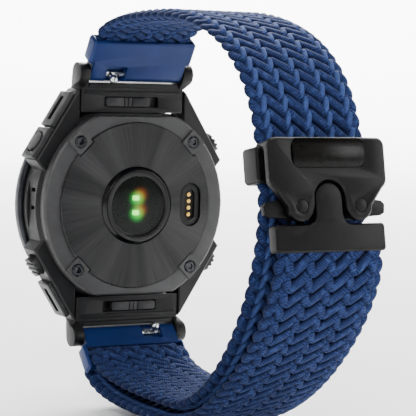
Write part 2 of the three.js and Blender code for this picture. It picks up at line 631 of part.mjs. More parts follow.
// ---------------------------------------------------------------- adapter, bar, latch and connector
// built for 12 o'clock; turned by 180 degrees about Y for 6 o'clock
const buildEnd = (tag, tilt, lower) => {
  const g = new THREE.Group();
  g.name = `end_${tag}`;
  g.rotation.y = lower ? Math.PI : 0;
  root.add(g);

  let a = across(
    polygon([
      [ADAPTER_Y0, FLAT_Z + GAP],
      [ADAPTER_Y1, FLAT_Z + GAP],
      [ADAPTER_Y1, ADAPTER_TOP - 2.4],
      [ADAPTER_Y1 - 2.2, ADAPTER_TOP],
      [ADAPTER_Y0, ADAPTER_TOP],
    ]),
    -ADAPTER_W / 2,
    ADAPTER_W / 2,
    0.3,
  );
  a = a.add(slab(roundRect(23.5, 1.1, 0.4, 0, ADAPTER_TOP - 1.7), ADAPTER_Y0 - 0.5, ADAPTER_Y0 + 1, 0.15, 4));
  a = a.add(slab(roundRect(25.4, 0.8, 0.3, 0, ADAPTER_TOP - 3.5), ADAPTER_Y0 - 0.3, ADAPTER_Y0 + 1, 0.1, 4));
  for (const s of [-1, 1]) {
    const xs = [s * EAR_IN, s * EAR_OUT].sort((p, q) => p - q);
    const foot = [s * EAR_IN, (s * ADAPTER_W) / 2].sort((p, q) => p - q);
    const head = cyl('x', EAR_R, xs[0], xs[1], BAR_Y, BAR_Z, 24);
    const base = box(foot[0], foot[1], ADAPTER_Y0, ADAPTER_Y1 - 0.8, HORN_TOP + GAP, ADAPTER_TOP - 0.5);
    a = a.add(wasm.Manifold.hull([head, base]));
  }
  a = a.subtract(cyl('x', NECK_R + 0.4, -EAR_IN, EAR_IN, BAR_Y, BAR_Z, 24));
  for (const s of [-1, 1]) {
    const xs = [s * (EAR_IN - 1), s * (EAR_IN + TIP_REACH + 0.3)].sort((p, q) => p - q);
    a = a.subtract(cyl('x', BORE_R + RUN, xs[0], xs[1], BAR_Y, BAR_Z, 20));
  }
  a = a.subtract(cyl('x', LUG_PIN_R + RUN, -40, 40, LUG_Y, LUG_Z, 24));
  const recess = roundRect(LATCH_L + LATCH_TRAVEL + 0.8, LATCH_H + 0.6, 0.5, LATCH_TRAVEL / 2 - 1.4, LATCH_Z);
  a = a.subtract(slab(recess, ADAPTER_Y0 - 1, ADAPTER_Y0 + LATCH_T + 0.2, 0, 5));
  node(`adapter_${tag}`, a, M.polymer, g);

  let latch = slab(roundRect(LATCH_L, LATCH_H, 0.5, -1.4, LATCH_Z), ADAPTER_Y0 - 0.25, ADAPTER_Y0 + LATCH_T, 0, 3);
  for (let i = -1; i <= 1; i += 1) {
    const x = -1.4 + i * 1.1;
    latch = latch.subtract(box(x - 0.15, x + 0.15, ADAPTER_Y0 - 1, ADAPTER_Y0 - 0.05, LATCH_Z - 3, LATCH_Z + 3));
  }
  node(`latch_${tag}`, latch, M.guard, g);
  node(`lug_pin_${tag}`, cyl('x', LUG_PIN_R, -HORN_X - LUG_PIN_REACH, HORN_X + LUG_PIN_REACH, LUG_Y, LUG_Z, 24), M.steel, g);

  const c = new THREE.Group();
  c.name = `connector_frame_${tag}`;
  c.position.set(0, BAR_Y, BAR_Z);
  c.rotation.x = rad(tilt);
  g.add(c);

  const tipEnd = EAR_IN + TIP_REACH;
  let tube = cyl('x', TUBE_R, -NECK_X, NECK_X, 0, 0, 28);
  tube = tube.subtract(cyl('x', BORE_R + RUN, -NECK_X - 1, LEVER_X + 6, 0, 0, 20));
  const slotX = [LEVER_X - 0.65, LEVER_X + LEVER_TRAVEL + 0.65];
  tube = tube.subtract(box(slotX[0], slotX[1], -TUBE_R - 1, 0, -0.62, 0.62));
  tube = tube.add(cyl('x', BORE_R, NECK_X - 0.5, tipEnd, 0, 0, 20));
  node(`spring_bar_${tag}`, tube, M.steel, c);

  let lever = cyl('x', BORE_R, -tipEnd, LEVER_X + 1.2, 0, 0, 20);
  lever = lever.add(cyl('y', BORE_R, -2.5, 0, LEVER_X, 0, 20));
  const knob = new THREE.SphereGeometry(1.05, 14, 10);
  knob.translate(LEVER_X, -2.75, 0);
  lever = lever.add(solid(knob));
  node(`quick_lever_${tag}`, lever, M.steel, c);

  let body = cyl('x', NECK_R, -NECK_X, NECK_X, 0, 0, 24);
  body = body.add(across(roundRect(2 * NECK_R, 5.2, 0.3, 0, 2.6), -NECK_X, NECK_X, 0, 4));
  const z0 = BODY_Z0;
  body = body.add(across(roundRect(BODY_T, BODY_Z1 - z0, 0.9, 0, (BODY_Z1 + z0) / 2), -BODY_X, BODY_X, 0.5, 3));
  body = body.subtract(cyl('x', TUBE_R + RUN, -40, 40, 0, 0, 28));
  const w0 = LEVER_X - 1.8;
  const w1 = LEVER_X + LEVER_TRAVEL + 1.8;
  body = body.subtract(slab(roundRect(w1 - w0, 4.2, 0.5, (w0 + w1) / 2, 0.7), -NECK_R - 1, 0, 0, 5));
  if (lower) {
    const slot = across(roundRect(BODY_T + 4, 2.7, 0.6, 0, END_BAR_Z - END_BAR_R - 1.4), -STRAP_W / 2 - 0.3, STRAP_W / 2 + 0.3);
    body = body.subtract(slot);
    const trim = box(-STRAP_W / 2 - 0.3, STRAP_W / 2 + 0.3, -4, 4, END_BAR_Z - END_BAR_R - 0.6, BODY_Z1 + 1);
    body = body.subtract(trim.subtract(cyl('x', END_BAR_R, -20, 20, 0, END_BAR_Z, 20)));
  } else {
    const w = STRAP_W / 2 + 0.3;
    body = body.subtract(box(-w, w, -STRAP_T / 2 - 0.3, STRAP_T / 2 + 0.3, BODY_Z0 + 2.2, BODY_Z1 + 1));
  }
  node(`connector_${tag}`, body, M.blue, c);
};
buildEnd('upper', UPPER_TILT, false);
buildEnd('lower', LOWER_TILT, true);

// ---------------------------------------------------------------- strap
const V = (y, z) => new THREE.Vector2(y, z);
// a point in a connector's own frame, carried into the wrist frame
const atUpper = (y, z) => {
  const a = rad(UPPER_TILT);
  return V(BAR_Y + y * Math.cos(a) - z * Math.sin(a), BAR_Z + y * Math.sin(a) + z * Math.cos(a));
};
const atLower = (y, z) => {
  const a = rad(LOWER_TILT);
  return V(BAR_Y + y * Math.cos(a) - z * Math.sin(a), -BAR_Z - y * Math.sin(a) - z * Math.cos(a));
};
const atBuckle = (y, z) => {
  const a = rad(-BUCKLE_TILT);
  return V(BUCKLE_Y + y * Math.cos(a) - z * Math.sin(a), BUCKLE_Z + y * Math.sin(a) + z * Math.cos(a));
};
const bezier = (a, b, c, d) => new THREE.CubicBezierCurve(a, b, c, d);
const tbarMid = -KEEPER_IN_T / 2 - KEEPER_WALL - 0.1 - TBAR_T / 2;
const wrapR = END_BAR_R + STRAP_GAP + STRAP_T / 2;

const mainRun = () => {
  const upper0 = atUpper(0, BODY_Z0 + 2.5);
  const upper1 = atUpper(0, BODY_Z1);
  const crest = V(...CREST);
  const keeperTop = atBuckle(0, KEEPER_Z1);
  const keeperEnd = atBuckle(0, KEEPER_Z0);
  const low = V(...LOW_IN);
  const wrapIn = atLower(-wrapR, END_BAR_Z);
  const pts = [];
  const push = (curve, n) => {
    const list = curve.getSpacedPoints(n);
    for (const p of list) {
      const last = pts[pts.length - 1];
      if (!last || last.distanceTo(p) > 0.05) pts.push(p);
    }
  };
  push(new THREE.LineCurve(upper0, upper1), 2);
  push(bezier(upper1, atUpper(0, BODY_Z1 + 5), V(crest.x + 13, crest.y), crest), 10);
  push(bezier(crest, V(crest.x - 24, crest.y), atBuckle(0, KEEPER_Z1 + 17), keeperTop), 15);
  push(new THREE.LineCurve(keeperTop, keeperEnd), 3);
  push(bezier(keeperEnd, atBuckle(0, KEEPER_Z0 - 19), V(low.x - 23, low.y), low), 15);
  push(bezier(low, V(low.x + 12, low.y), atLower(-wrapR, END_BAR_Z + 6), wrapIn), 10);
  for (let i = 1; i <= 12; i += 1) {
    const a = Math.PI + (i / 12) * Math.PI;
    pts.push(atLower(wrapR * Math.cos(a), END_BAR_Z + wrapR * Math.sin(a)));
  }
  pts.push(atLower(wrapR, END_BAR_Z + 0.6));
  return pts;
};

const tailRun = () => {
  const start = atLower(wrapR, END_BAR_Z + 0.65);
  const low = V(...LOW_OUT);
  const layer = tbarMid;
  const tbarBottom = atBuckle(layer, TBAR_BOTTOM);
  const end = atBuckle(layer, TBAR_BOTTOM + POCKET_DEPTH - 0.3);
  const pts = [];
  const push = (curve, n) => {
    for (const p of curve.getSpacedPoints(n)) {
      const last = pts[pts.length - 1];
      if (!last || last.distanceTo(p) > 0.05) pts.push(p);
    }
  };
  pts.push(start);
  push(bezier(atLower(wrapR, END_BAR_Z + 1.3), atLower(wrapR, END_BAR_Z + 6), V(low.x + 18, low.y - 0.6), low), 11);
  push(bezier(low, V(low.x - 25, low.y + 0.4), atBuckle(layer, TBAR_BOTTOM - 12), tbarBottom), 17);
  push(new THREE.LineCurve(tbarBottom, end), 2);
  return pts;
};

// the outline of a ribbon of even thickness about a run of points
const ribbon = (pts, thick) => {
  const left = [];
  const right = [];
  pts.forEach((p, i) => {
    const a = pts[Math.max(i - 1, 0)];
    const b = pts[Math.min(i + 1, pts.length - 1)];
    const t = b.clone().sub(a).normalize();
    left.push(V(p.x - (t.y * thick) / 2, p.y + (t.x * thick) / 2));
    right.push(V(p.x + (t.y * thick) / 2, p.y - (t.x * thick) / 2));
  });
  return new THREE.Shape([...left, ...right.reverse()].reverse());
};
node('strap_main', across(ribbon(mainRun(), STRAP_T), -STRAP_W / 2, STRAP_W / 2, 0.3), M.strap);
node('strap_tail', across(ribbon(tailRun(), STRAP_T), -STRAP_W / 2, STRAP_W / 2, 0.3), M.strap);

// ---------------------------------------------------------------- buckle
const buckle = new THREE.Group();
buckle.name = 'buckle_frame';
buckle.position.set(0, BUCKLE_Y, BUCKLE_Z);
buckle.rotation.x = rad(-BUCKLE_TILT);
root.add(buckle);

const keeperFront = -KEEPER_IN_T / 2 - KEEPER_WALL;
const keeperBack = KEEPER_IN_T / 2 + KEEPER_WALL;
const coverBack = keeperFront - LEVER_LAYER;
const coverFace = coverBack - COVER_T;

const keeperDepth = keeperBack - keeperFront;
let keeper = slab(roundRect(KEEPER_W, KEEPER_Z1 - KEEPER_Z0, 1.0, 0, (KEEPER_Z1 + KEEPER_Z0) / 2), keeperFront, keeperBack, 0.4, 3);
keeper = keeper.subtract(box(-KEEPER_IN_W / 2, KEEPER_IN_W / 2, -KEEPER_IN_T / 2, KEEPER_IN_T / 2, -20, 20));
// plate that carries the rivets, below the strap loop
const footZ0 = RIVET_Z - 2.5;
const footZ1 = KEEPER_Z0 + 1.6;
const foot = roundRect(19.0, footZ1 - footZ0, 2.0, 0, (footZ0 + footZ1) / 2);
keeper = keeper.add(slab(foot, keeperFront, -KEEPER_IN_T / 2, 0.2, 8));
for (const s of [-1, 1]) {
  keeper = keeper.subtract(cyl('y', RIVET_R + 0.02, -20, 20, s * RIVET_X, RIVET_Z, 24));
}
node('keeper_loop', keeper, M.buckle, buckle);

// outline of the front cover, with two lobes and the arch between them
const coverShape = () => {
  const s = new THREE.Shape();
  const w = COVER_W / 2;
  const lobeR = 3.0;
  const r = 1.8;
  s.moveTo(-w, COVER_TOP - r);
  s.lineTo(-w, COVER_TOP - 8.2);
  s.quadraticCurveTo(-w, COVER_TOP - 9.4, -w + 1.1, COVER_TOP - 10.2);
  s.lineTo(-RIVET_X - lobeR, COVER_BOTTOM + lobeR - 0.2);
  s.absarc(-RIVET_X, COVER_BOTTOM + lobeR - 0.2, lobeR, Math.PI, 1.75 * Math.PI);
  s.quadraticCurveTo(-ARCH_W / 2, RIVET_Z - 0.8, -ARCH_W / 2, RIVET_Z + 0.8);
  s.lineTo(-ARCH_W / 2, ARCH_TOP - ARCH_W / 2);
  s.absarc(0, ARCH_TOP - ARCH_W / 2, ARCH_W / 2, Math.PI, 0, true);
  s.lineTo(ARCH_W / 2, RIVET_Z + 0.8);
  s.quadraticCurveTo(ARCH_W / 2, RIVET_Z - 0.8, RIVET_X - lobeR * Math.SQRT1_2, RIVET_Z - lobeR * Math.SQRT1_2);
  s.absarc(RIVET_X, COVER_BOTTOM + lobeR - 0.2, lobeR, 1.25 * Math.PI, 2 * Math.PI);
  s.lineTo(w - 1.1, COVER_TOP - 10.2);
  s.quadraticCurveTo(w, COVER_TOP - 9.4, w, COVER_TOP - 8.2);
  s.lineTo(w, COVER_TOP - r);
  s.absarc(w - r, COVER_TOP - r, r, 0, Math.PI / 2);
  s.lineTo(-w + r, COVER_TOP);
  s.absarc(-w + r, COVER_TOP - r, r, Math.PI / 2, Math.PI);
  return s;
};
let front = slab(coverShape(), coverFace, coverBack, 0.45, 5);
// skirt along the top, closing the lever space against the keeper
front = front.add(slab(roundRect(COVER_W - 0.8, 2.4, 0.8, 0, COVER_TOP - 1.6), coverFace + 1, keeperFront + 0.9, 0.2, 6));
front = front.subtract(box(-KEEPER_W, KEEPER_W, keeperFront - 0.02, 20, KEEPER_Z0 - 8, KEEPER_Z1 + 0.1));
const recessZ = COVER_TOP - 0.3 - INSET_H / 2;
const recessShape = roundRect(INSET_W + 0.3, INSET_H + 0.3, 1.6, 0, recessZ);
front = front.subtract(slab(recessShape, coverFace - 1, coverFace + 1.1, 0, 8));
for (const s of [-1, 1]) {
  front = front.subtract(cyl('y', RIVET_R + 0.02, -20, 20, s * RIVET_X, RIVET_Z, 24));
  front = front.subtract(cyl('y', RIVET_HEAD_R + 0.1, -20, coverFace + 0.5, s * RIVET_X, RIVET_Z, 20));
}
node('buckle_cover', front, M.buckle, buckle);

// curved glossy bar in the recess
let inset = slab(roundRect(INSET_W, INSET_H, 1.5, 0, recessZ), coverFace - 0.6, coverFace + 1.05, 0, 6);
inset = inset.intersect(cyl('x', 9.5, -20, 20, coverFace + 9.15, recessZ, 60));
node('buckle_inset', inset, M.inset, buckle);

// release levers on the rivets
const leverY0 = coverBack + 0.2;
const leverY1 = keeperFront - 0.2;
for (const [tag, s] of [['left', -1], ['right', 1]]) {
  const p = (x, z) => [s * x, z];
  const outline = [
    p(RIVET_X - 2.0, RIVET_Z - 1.2),
    p(RIVET_X + 1.0, RIVET_Z - 2.2),
    p(COVER_W / 2 - 0.6, RIVET_Z - 1.9),
    p(14.2, RIVET_Z - 1.4),
    p(14.4, RIVET_Z + 0.4),
    p(13.6, RIVET_Z + 1.1),
    p(RIVET_X + 2.2, RIVET_Z + 1.8),
    p(RIVET_X + 0.6, 0.6),
    p(STEM_W / 2 + 0.9, 1.4),
    p(STEM_W / 2 + 0.35, 0.9),
    p(STEM_W / 2 + 0.35, -0.2),
    p(RIVET_X - 2.2, -1.4),
  ];
  let lever = slab(polygon(s > 0 ? outline : outline.reverse()), leverY0, leverY1, 0, 4);
  lever = lever.add(cyl('y', 2.4, leverY0, leverY1, s * RIVET_X, RIVET_Z, 20));
  lever = lever.subtract(cyl('y', RIVET_R + RUN, -20, 20, s * RIVET_X, RIVET_Z, 24));
  lever = lever.subtract(box(s * 1.5 - 1.9, s * 1.5 + 1.9, -20, 20, -7.2, TONGUE_TOP + 0.9));
  node(`release_lever_${tag}`, lever, M.buckle, buckle);
}
for (const [tag, s] of [['left', -1], ['right', 1]]) {
  const shank = cyl('y', RIVET_R, coverFace + 0.15, -KEEPER_IN_T / 2 - 0.05, s * RIVET_X, RIVET_Z, 24);
  const head = cyl('y', RIVET_HEAD_R, coverFace - 0.05, coverFace + 0.48, s * RIVET_X, RIVET_Z, 28);
  node(`rivet_${tag}`, shank.add(head), M.buckle, buckle);
}

// tongue: stem between the levers, visible tongue in the arch, T-bar that holds the strap
const tongueY0 = coverFace + 0.5;
const tongueY1 = keeperFront - 0.15;
const tongueShape = () => {
  const s = new THREE.Shape();
  const r = TONGUE_W / 2;
  const w = TBAR_W / 2;
  s.moveTo(-r, TONGUE_TOP - r);
  s.lineTo(-r, TBAR_TOP + 2.0);
  s.quadraticCurveTo(-r, TBAR_TOP, -r - 2.4, TBAR_TOP);
  s.lineTo(-w + 0.8, TBAR_TOP);
  s.absarc(-w + 0.8, TBAR_TOP - 0.8, 0.8, Math.PI / 2, Math.PI);
  s.lineTo(-w, TBAR_BOTTOM + 0.8);
  s.absarc(-w + 0.8, TBAR_BOTTOM + 0.8, 0.8, Math.PI, 1.5 * Math.PI);
  s.lineTo(w - 0.8, TBAR_BOTTOM);
  s.absarc(w - 0.8, TBAR_BOTTOM + 0.8, 0.8, -Math.PI / 2, 0);
  s.lineTo(w, TBAR_TOP - 0.8);
  s.absarc(w - 0.8, TBAR_TOP - 0.8, 0.8, 0, Math.PI / 2);
  s.lineTo(r + 2.4, TBAR_TOP);
  s.quadraticCurveTo(r, TBAR_TOP, r, TBAR_TOP + 2.0);
  s.lineTo(r, TONGUE_TOP - r);
  s.absarc(0, TONGUE_TOP - r, r, 0, Math.PI);
  return s;
};
const tbarY1 = keeperFront - 0.1;
const tbarY0 = tbarY1 - TBAR_T;
let tongue = slab(tongueShape(), tbarY0, tbarY1, 0.35, 5);
tongue = tongue.subtract(box(-TONGUE_W, TONGUE_W, -20, tbarY0 + 0.3, -30, 30).subtract(box(-30, 30, -30, 30, -30, -8.4)));
tongue = tongue.add(slab(roundRect(STEM_W, STEM_TOP + 5.4, 0.8, 0, (STEM_TOP - 5.4) / 2), leverY0, tbarY1 - 0.1, 0, 6));
const pocketY = tbarMid;
const pocketT = STRAP_T + 0.3;
tongue = tongue.subtract(
  box(-STRAP_W / 2 - 0.1, STRAP_W / 2 + 0.1, pocketY - pocketT / 2, pocketY + pocketT / 2, TBAR_BOTTOM - 1, TBAR_BOTTOM + POCKET_DEPTH),
);
node('tongue_plate', tongue, M.buckle, buckle);

export default root;
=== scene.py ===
"""Looks for a smartwatch on a closed band of braided elastic cord.

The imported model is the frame. Its hard parts keep their shape and get a finish each, and the two
plain strap solids are replaced by a flat braid of swept cords.
"""

import logging
import math
from dataclasses import dataclass, field
from enum import Enum

import bpy
import numpy as np
from mathutils import Matrix, Vector


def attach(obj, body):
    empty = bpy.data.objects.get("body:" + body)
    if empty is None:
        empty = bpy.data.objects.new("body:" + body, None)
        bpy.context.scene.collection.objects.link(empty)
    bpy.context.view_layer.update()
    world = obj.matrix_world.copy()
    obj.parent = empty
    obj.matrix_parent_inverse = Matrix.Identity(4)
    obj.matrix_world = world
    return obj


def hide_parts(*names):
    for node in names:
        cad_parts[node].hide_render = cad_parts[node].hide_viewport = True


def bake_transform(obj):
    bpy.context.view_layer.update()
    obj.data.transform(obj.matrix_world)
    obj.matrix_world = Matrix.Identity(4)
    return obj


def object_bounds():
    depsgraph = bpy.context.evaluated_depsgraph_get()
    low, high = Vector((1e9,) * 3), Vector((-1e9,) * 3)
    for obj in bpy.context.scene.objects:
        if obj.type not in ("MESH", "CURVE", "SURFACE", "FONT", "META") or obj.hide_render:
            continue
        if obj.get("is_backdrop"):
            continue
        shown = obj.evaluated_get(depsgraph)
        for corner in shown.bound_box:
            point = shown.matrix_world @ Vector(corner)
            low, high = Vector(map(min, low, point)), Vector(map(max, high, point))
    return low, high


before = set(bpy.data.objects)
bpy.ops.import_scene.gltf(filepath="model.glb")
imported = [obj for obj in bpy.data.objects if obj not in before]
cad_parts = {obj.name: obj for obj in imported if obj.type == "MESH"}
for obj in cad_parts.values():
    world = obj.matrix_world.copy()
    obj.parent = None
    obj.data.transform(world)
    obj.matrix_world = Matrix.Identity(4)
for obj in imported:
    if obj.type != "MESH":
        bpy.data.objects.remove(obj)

logging.basicConfig(level=logging.INFO, format="%(message)s")
LOG = logging.getLogger("band")

MM = 0.001
ROW_MM = 1.62  # length of strap that one row of the braid takes
STEPS_PER_ROW = 5
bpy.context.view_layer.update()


def linear(code: str, alpha: float = 1.0) -> tuple[float, float, float, float]:
    """Turn an sRGB hex colour into the linear values that shaders take.

    Args:
        code: six hex digits, with or without a leading #.
        alpha: the fourth value.

    Returns:
        Red, green, blue and alpha, linear.
    """
    values = [int(code.lstrip("#")[i : i + 2], 16) / 255 for i in (0, 2, 4)]
    out = [v / 12.92 if v <= 0.04045 else ((v + 0.055) / 1.055) ** 2.4 for v in values]
    return out[0], out[1], out[2], alpha


def add_node(
    tree: bpy.types.NodeTree, kind: str, inputs: dict | None = None, **settings: object
) -> bpy.types.Node:
    """Add one shader node with its settings and links.

    Args:
        tree: the material's node tree.
        kind: the node's type name.
        inputs: input name or number to a value, or to the socket that feeds it.
        **settings: properties of the node.

    Returns:
        The new node.
    """
    node = tree.nodes.new(kind)
    for key, value in settings.items():
        setattr(node, key, value)
    for key, value in (inputs or {}).items():
        if isinstance(value, bpy.types.NodeSocket):
            tree.links.new(value, node.inputs[key])
        else:
            node.inputs[key].default_value = value
    return node


def per_mm(size_mm: float) -> float:
    """Texture scale that makes a feature of this size on coordinates in metres."""
    return 1.0 / (size_mm * MM)


@dataclass(frozen=True)
class Finish:
    """A surface finish: what the part is made of, and how its surface was made."""

    name: str

    def build(self) -> bpy.types.Material:
        """Make the material.

        Returns:
            A new material whose look comes from dress().
        """
        material = bpy.data.materials.new(self.name)
        material.use_nodes = True
        tree = material.node_tree
        tree.nodes.clear()
        shader = add_node(tree, "ShaderNodeBsdfPrincipled")
        out = add_node(tree, "ShaderNodeOutputMaterial")
        tree.links.new(self.dress(tree, shader), out.inputs["Surface"])
        return material

    def dress(self, tree: bpy.types.NodeTree, shader: bpy.types.Node) -> bpy.types.NodeSocket:
        """Set the shader up; each finish has its own."""
        raise NotImplementedError

    def two_tone(
        self,
        tree: bpy.types.NodeTree,
        factor: bpy.types.NodeSocket,
        low: str,
        high: str,
        edges: tuple[float, float] = (0.3, 0.7),
    ) -> bpy.types.NodeSocket:
        """Blend two colours by a factor.

        Args:
            tree: the node tree.
            factor: what drives the blend.
            low: hex colour at the low edge.
            high: hex colour at the high edge.
            edges: the factor's values at the two colours.

        Returns:
            The colour socket.
        """
        ramp = add_node(tree, "ShaderNodeValToRGB", {"Fac": factor})
        ramp.color_ramp.elements[0].position = edges[0]
        ramp.color_ramp.elements[1].position = edges[1]
        ramp.color_ramp.elements[0].color = linear(low)
        ramp.color_ramp.elements[1].color = linear(high)
        return ramp.outputs["Color"]

    def spread(
        self, tree: bpy.types.NodeTree, factor: bpy.types.NodeSocket, low: float, high: float
    ) -> bpy.types.NodeSocket:
        """Map a 0 to 1 factor to a range of values."""
        ranged = add_node(tree, "ShaderNodeMapRange", {"Value": factor, "To Min": low, "To Max": high})
        return ranged.outputs["Result"]

    def noise(
        self,
        tree: bpy.types.NodeTree,
        size_mm: float,
        detail: float = 3.0,
        stretch: tuple[float, float, float] = (1.0, 1.0, 1.0),
    ) -> bpy.types.NodeSocket:
        """Noise in the part's own space.

        Args:
            tree: the node tree.
            size_mm: the size of its features.
            detail: how many finer octaves it has.
            stretch: how much finer it is along each axis.

        Returns:
            The factor socket.
        """
        place = add_node(tree, "ShaderNodeTexCoord")
        mapped = add_node(tree, "ShaderNodeMapping", {"Vector": place.outputs["Object"], "Scale": stretch})
        texture = add_node(
            tree,
            "ShaderNodeTexNoise",
            {"Vector": mapped.outputs["Vector"], "Scale": per_mm(size_mm), "Detail": detail},
        )
        return texture.outputs["Fac"]

    def bump(
        self, tree: bpy.types.NodeTree, height: bpy.types.NodeSocket, depth_mm: float, strength: float
    ) -> bpy.types.NodeSocket:
        """A bump whose full height is depth_mm."""
        made = add_node(
            tree,
            "ShaderNodeBump",
            {"Height": height, "Distance": depth_mm * MM, "Strength": strength},
        )
        return made.outputs["Normal"]


@dataclass(frozen=True)
class MouldedPolymer(Finish):
    """Glass-filled nylon, moulded in a spark-eroded tool: matt, with a fine even grain."""

    dark: str = "#020202"
    light: str = "#070707"
    grain_mm: float = 0.35  # a moulded grain is finer, and is drawn coarser so that it shows

    def dress(self, tree: bpy.types.NodeTree, shader: bpy.types.Node) -> bpy.types.NodeSocket:
        """Fine grain in the bump, and slow drift in colour and gloss from handling."""
        grain = self.noise(tree, self.grain_mm, 2.0)
        drift = self.noise(tree, 6.0, 4.0)
        shader.inputs["IOR"].default_value = 1.5
        shader.inputs["Specular IOR Level"].default_value = 0.3
        tree.links.new(self.two_tone(tree, drift, self.dark, self.light), shader.inputs["Base Color"])
        tree.links.new(self.spread(tree, grain, 0.36, 0.54), shader.inputs["Roughness"])
        tree.links.new(self.bump(tree, grain, 0.03, 0.5), shader.inputs["Normal"])
        return shader.outputs["BSDF"]


@dataclass(frozen=True)
class CoatedMetal(Finish):
    """Metal, bead blasted and then coated or anodised: satin, with a grit-sized sparkle."""

    dark: str = "#1c1d1f"
    light: str = "#2c2d30"
    metallic: float = 0.7
    rough: tuple[float, float] = (0.34, 0.46)
    grit_mm: float = 0.25  # blasting pits are finer, and are drawn coarser so that they show
    depth_mm: float = 0.012
    coat: float = 0.0
    reflect: float = 0.5

    def dress(self, tree: bpy.types.NodeTree, shader: bpy.types.Node) -> bpy.types.NodeSocket:
        """Grit in the bump, and a slow two-tone drift as coatings have."""
        grit = self.noise(tree, self.grit_mm, 2.0)
        drift = self.noise(tree, 5.0, 3.0)
        shader.inputs["Metallic"].default_value = self.metallic
        shader.inputs["Specular IOR Level"].default_value = self.reflect
        shader.inputs["Coat Weight"].default_value = self.coat
        shader.inputs["Coat Roughness"].default_value = 0.12
        tree.links.new(self.two_tone(tree, drift, self.dark, self.light), shader.inputs["Base Color"])
        tree.links.new(self.spread(tree, grit, *self.rough), shader.inputs["Roughness"])
        tree.links.new(self.bump(tree, grit, self.depth_mm, 0.5), shader.inputs["Normal"])
        return shader.outputs["BSDF"]


@dataclass(frozen=True)
class SunburstSteel(Finish):
    """Dark coated steel, brushed out from its centre: fine rays that flash, and broad lighter and darker
    wedges painted into its colour as reflection.
    """

    dark: str = "#242424"
    light: str = "#464646"
    rays: float = 120.0

    def dress(self, tree: bpy.types.NodeTree, shader: bpy.types.Node) -> bpy.types.NodeSocket:
        """Streaks that run along the radius, from noise that turns with the angle about Y."""
        place = add_node(tree, "ShaderNodeTexCoord")
        axes = add_node(tree, "ShaderNodeSeparateXYZ", {"Vector": place.outputs["Object"]})
        flat = add_node(
            tree, "ShaderNodeCombineXYZ", {"X": axes.outputs["X"], "Y": axes.outputs["Z"]}
        )
        unit = add_node(tree, "ShaderNodeVectorMath", {0: flat.outputs["Vector"]}, operation="NORMALIZE")
        reach = add_node(tree, "ShaderNodeVectorMath", {0: flat.outputs["Vector"]}, operation="LENGTH")
        along = add_node(
            tree, "ShaderNodeMath", {0: reach.outputs["Value"], 1: 90.0}, operation="MULTIPLY"
        )
        ray = add_node(
            tree,
            "ShaderNodeVectorMath",
            {0: unit.outputs["Vector"], 1: (self.rays, self.rays, 1.0)},
            operation="MULTIPLY",
        )
        lifted = add_node(tree, "ShaderNodeCombineXYZ", {"Z": along.outputs["Value"]})
        where = add_node(
            tree, "ShaderNodeVectorMath", {0: ray.outputs["Vector"], 1: lifted.outputs["Vector"]}
        )
        fine = add_node(
            tree,
            "ShaderNodeTexNoise",
            {"Vector": where.outputs["Vector"], "Scale": 1.0, "Detail": 4.0, "Roughness": 0.7},
        )
        # Painted reflection: broad sectors about the centre lighten and darken the rays, as the flashing
        # wedges of light would.
        broad = add_node(
            tree,
            "ShaderNodeTexNoise",
            {"Vector": unit.outputs["Vector"], "Scale": 2.6, "Detail": 2.0},
        )
        both = add_node(
            tree,
            "ShaderNodeMath",
            {0: fine.outputs["Fac"], 1: broad.outputs["Fac"]},
            operation="MULTIPLY",
        )
        tangent = add_node(tree, "ShaderNodeTangent", direction_type="RADIAL", axis="Y")
        shader.inputs["Metallic"].default_value = 0.9
        shader.inputs["Anisotropic"].default_value = 0.8
        tree.links.new(tangent.outputs["Tangent"], shader.inputs["Tangent"])
        tree.links.new(
            self.two_tone(tree, both.outputs["Value"], self.dark, self.light, (0.12, 0.42)),
            shader.inputs["Base Color"],
        )
        tree.links.new(self.spread(tree, fine.outputs["Fac"], 0.26, 0.5), shader.inputs["Roughness"])
        tree.links.new(self.bump(tree, fine.outputs["Fac"], 0.02, 0.35), shader.inputs["Normal"])
        return shader.outputs["BSDF"]


@dataclass(frozen=True)
class PolishedMetal(Finish):
    """Bare metal, tumbled to a polish: bright, with a few fine scratches."""

    dark: str = "#b4b6ba"
    light: str = "#d6d8da"
    scratch_mm: float = 0.4

    def dress(self, tree: bpy.types.NodeTree, shader: bpy.types.Node) -> bpy.types.NodeSocket:
        """Scratches are noise stretched along one axis."""
        scratch = self.noise(tree, self.scratch_mm, 3.0, (0.2, 1.0, 1.6))
        shader.inputs["Metallic"].default_value = 1.0
        tree.links.new(self.two_tone(tree, scratch, self.dark, self.light), shader.inputs["Base Color"])
        tree.links.new(self.spread(tree, scratch, 0.14, 0.3), shader.inputs["Roughness"])
        tree.links.new(self.bump(tree, scratch, 0.006, 0.4), shader.inputs["Normal"])
        return shader.outputs["BSDF"]


@dataclass(frozen=True)
class TintedGlass(Finish):
    """Polished glass with a dark tint: a clean gloss over what lies behind it."""

    tint: str = "#4a524f"
    body: str = "#050607"
    cover: float = 0.5
    rough: tuple[float, float] = (0.03, 0.07)

    def dress(self, tree: bpy.types.NodeTree, shader: bpy.types.Node) -> bpy.types.NodeSocket:
        """Part of the light passes straight through, tinted, and the rest meets the gloss."""
        haze = self.noise(tree, 3.0, 2.0)
        shader.inputs["Base Color"].default_value = linear(self.body)
        shader.inputs["IOR"].default_value = 1.52
        tree.links.new(self.spread(tree, haze, *self.rough), shader.inputs["Roughness"])
        clear = add_node(tree, "ShaderNodeBsdfTransparent", {"Color": linear(self.tint)})
        mixed = add_node(
            tree,
            "ShaderNodeMixShader",
            {0: self.cover, 1: clear.outputs["BSDF"], 2: shader.outputs["BSDF"]},
        )
        return mixed.outputs["Shader"]


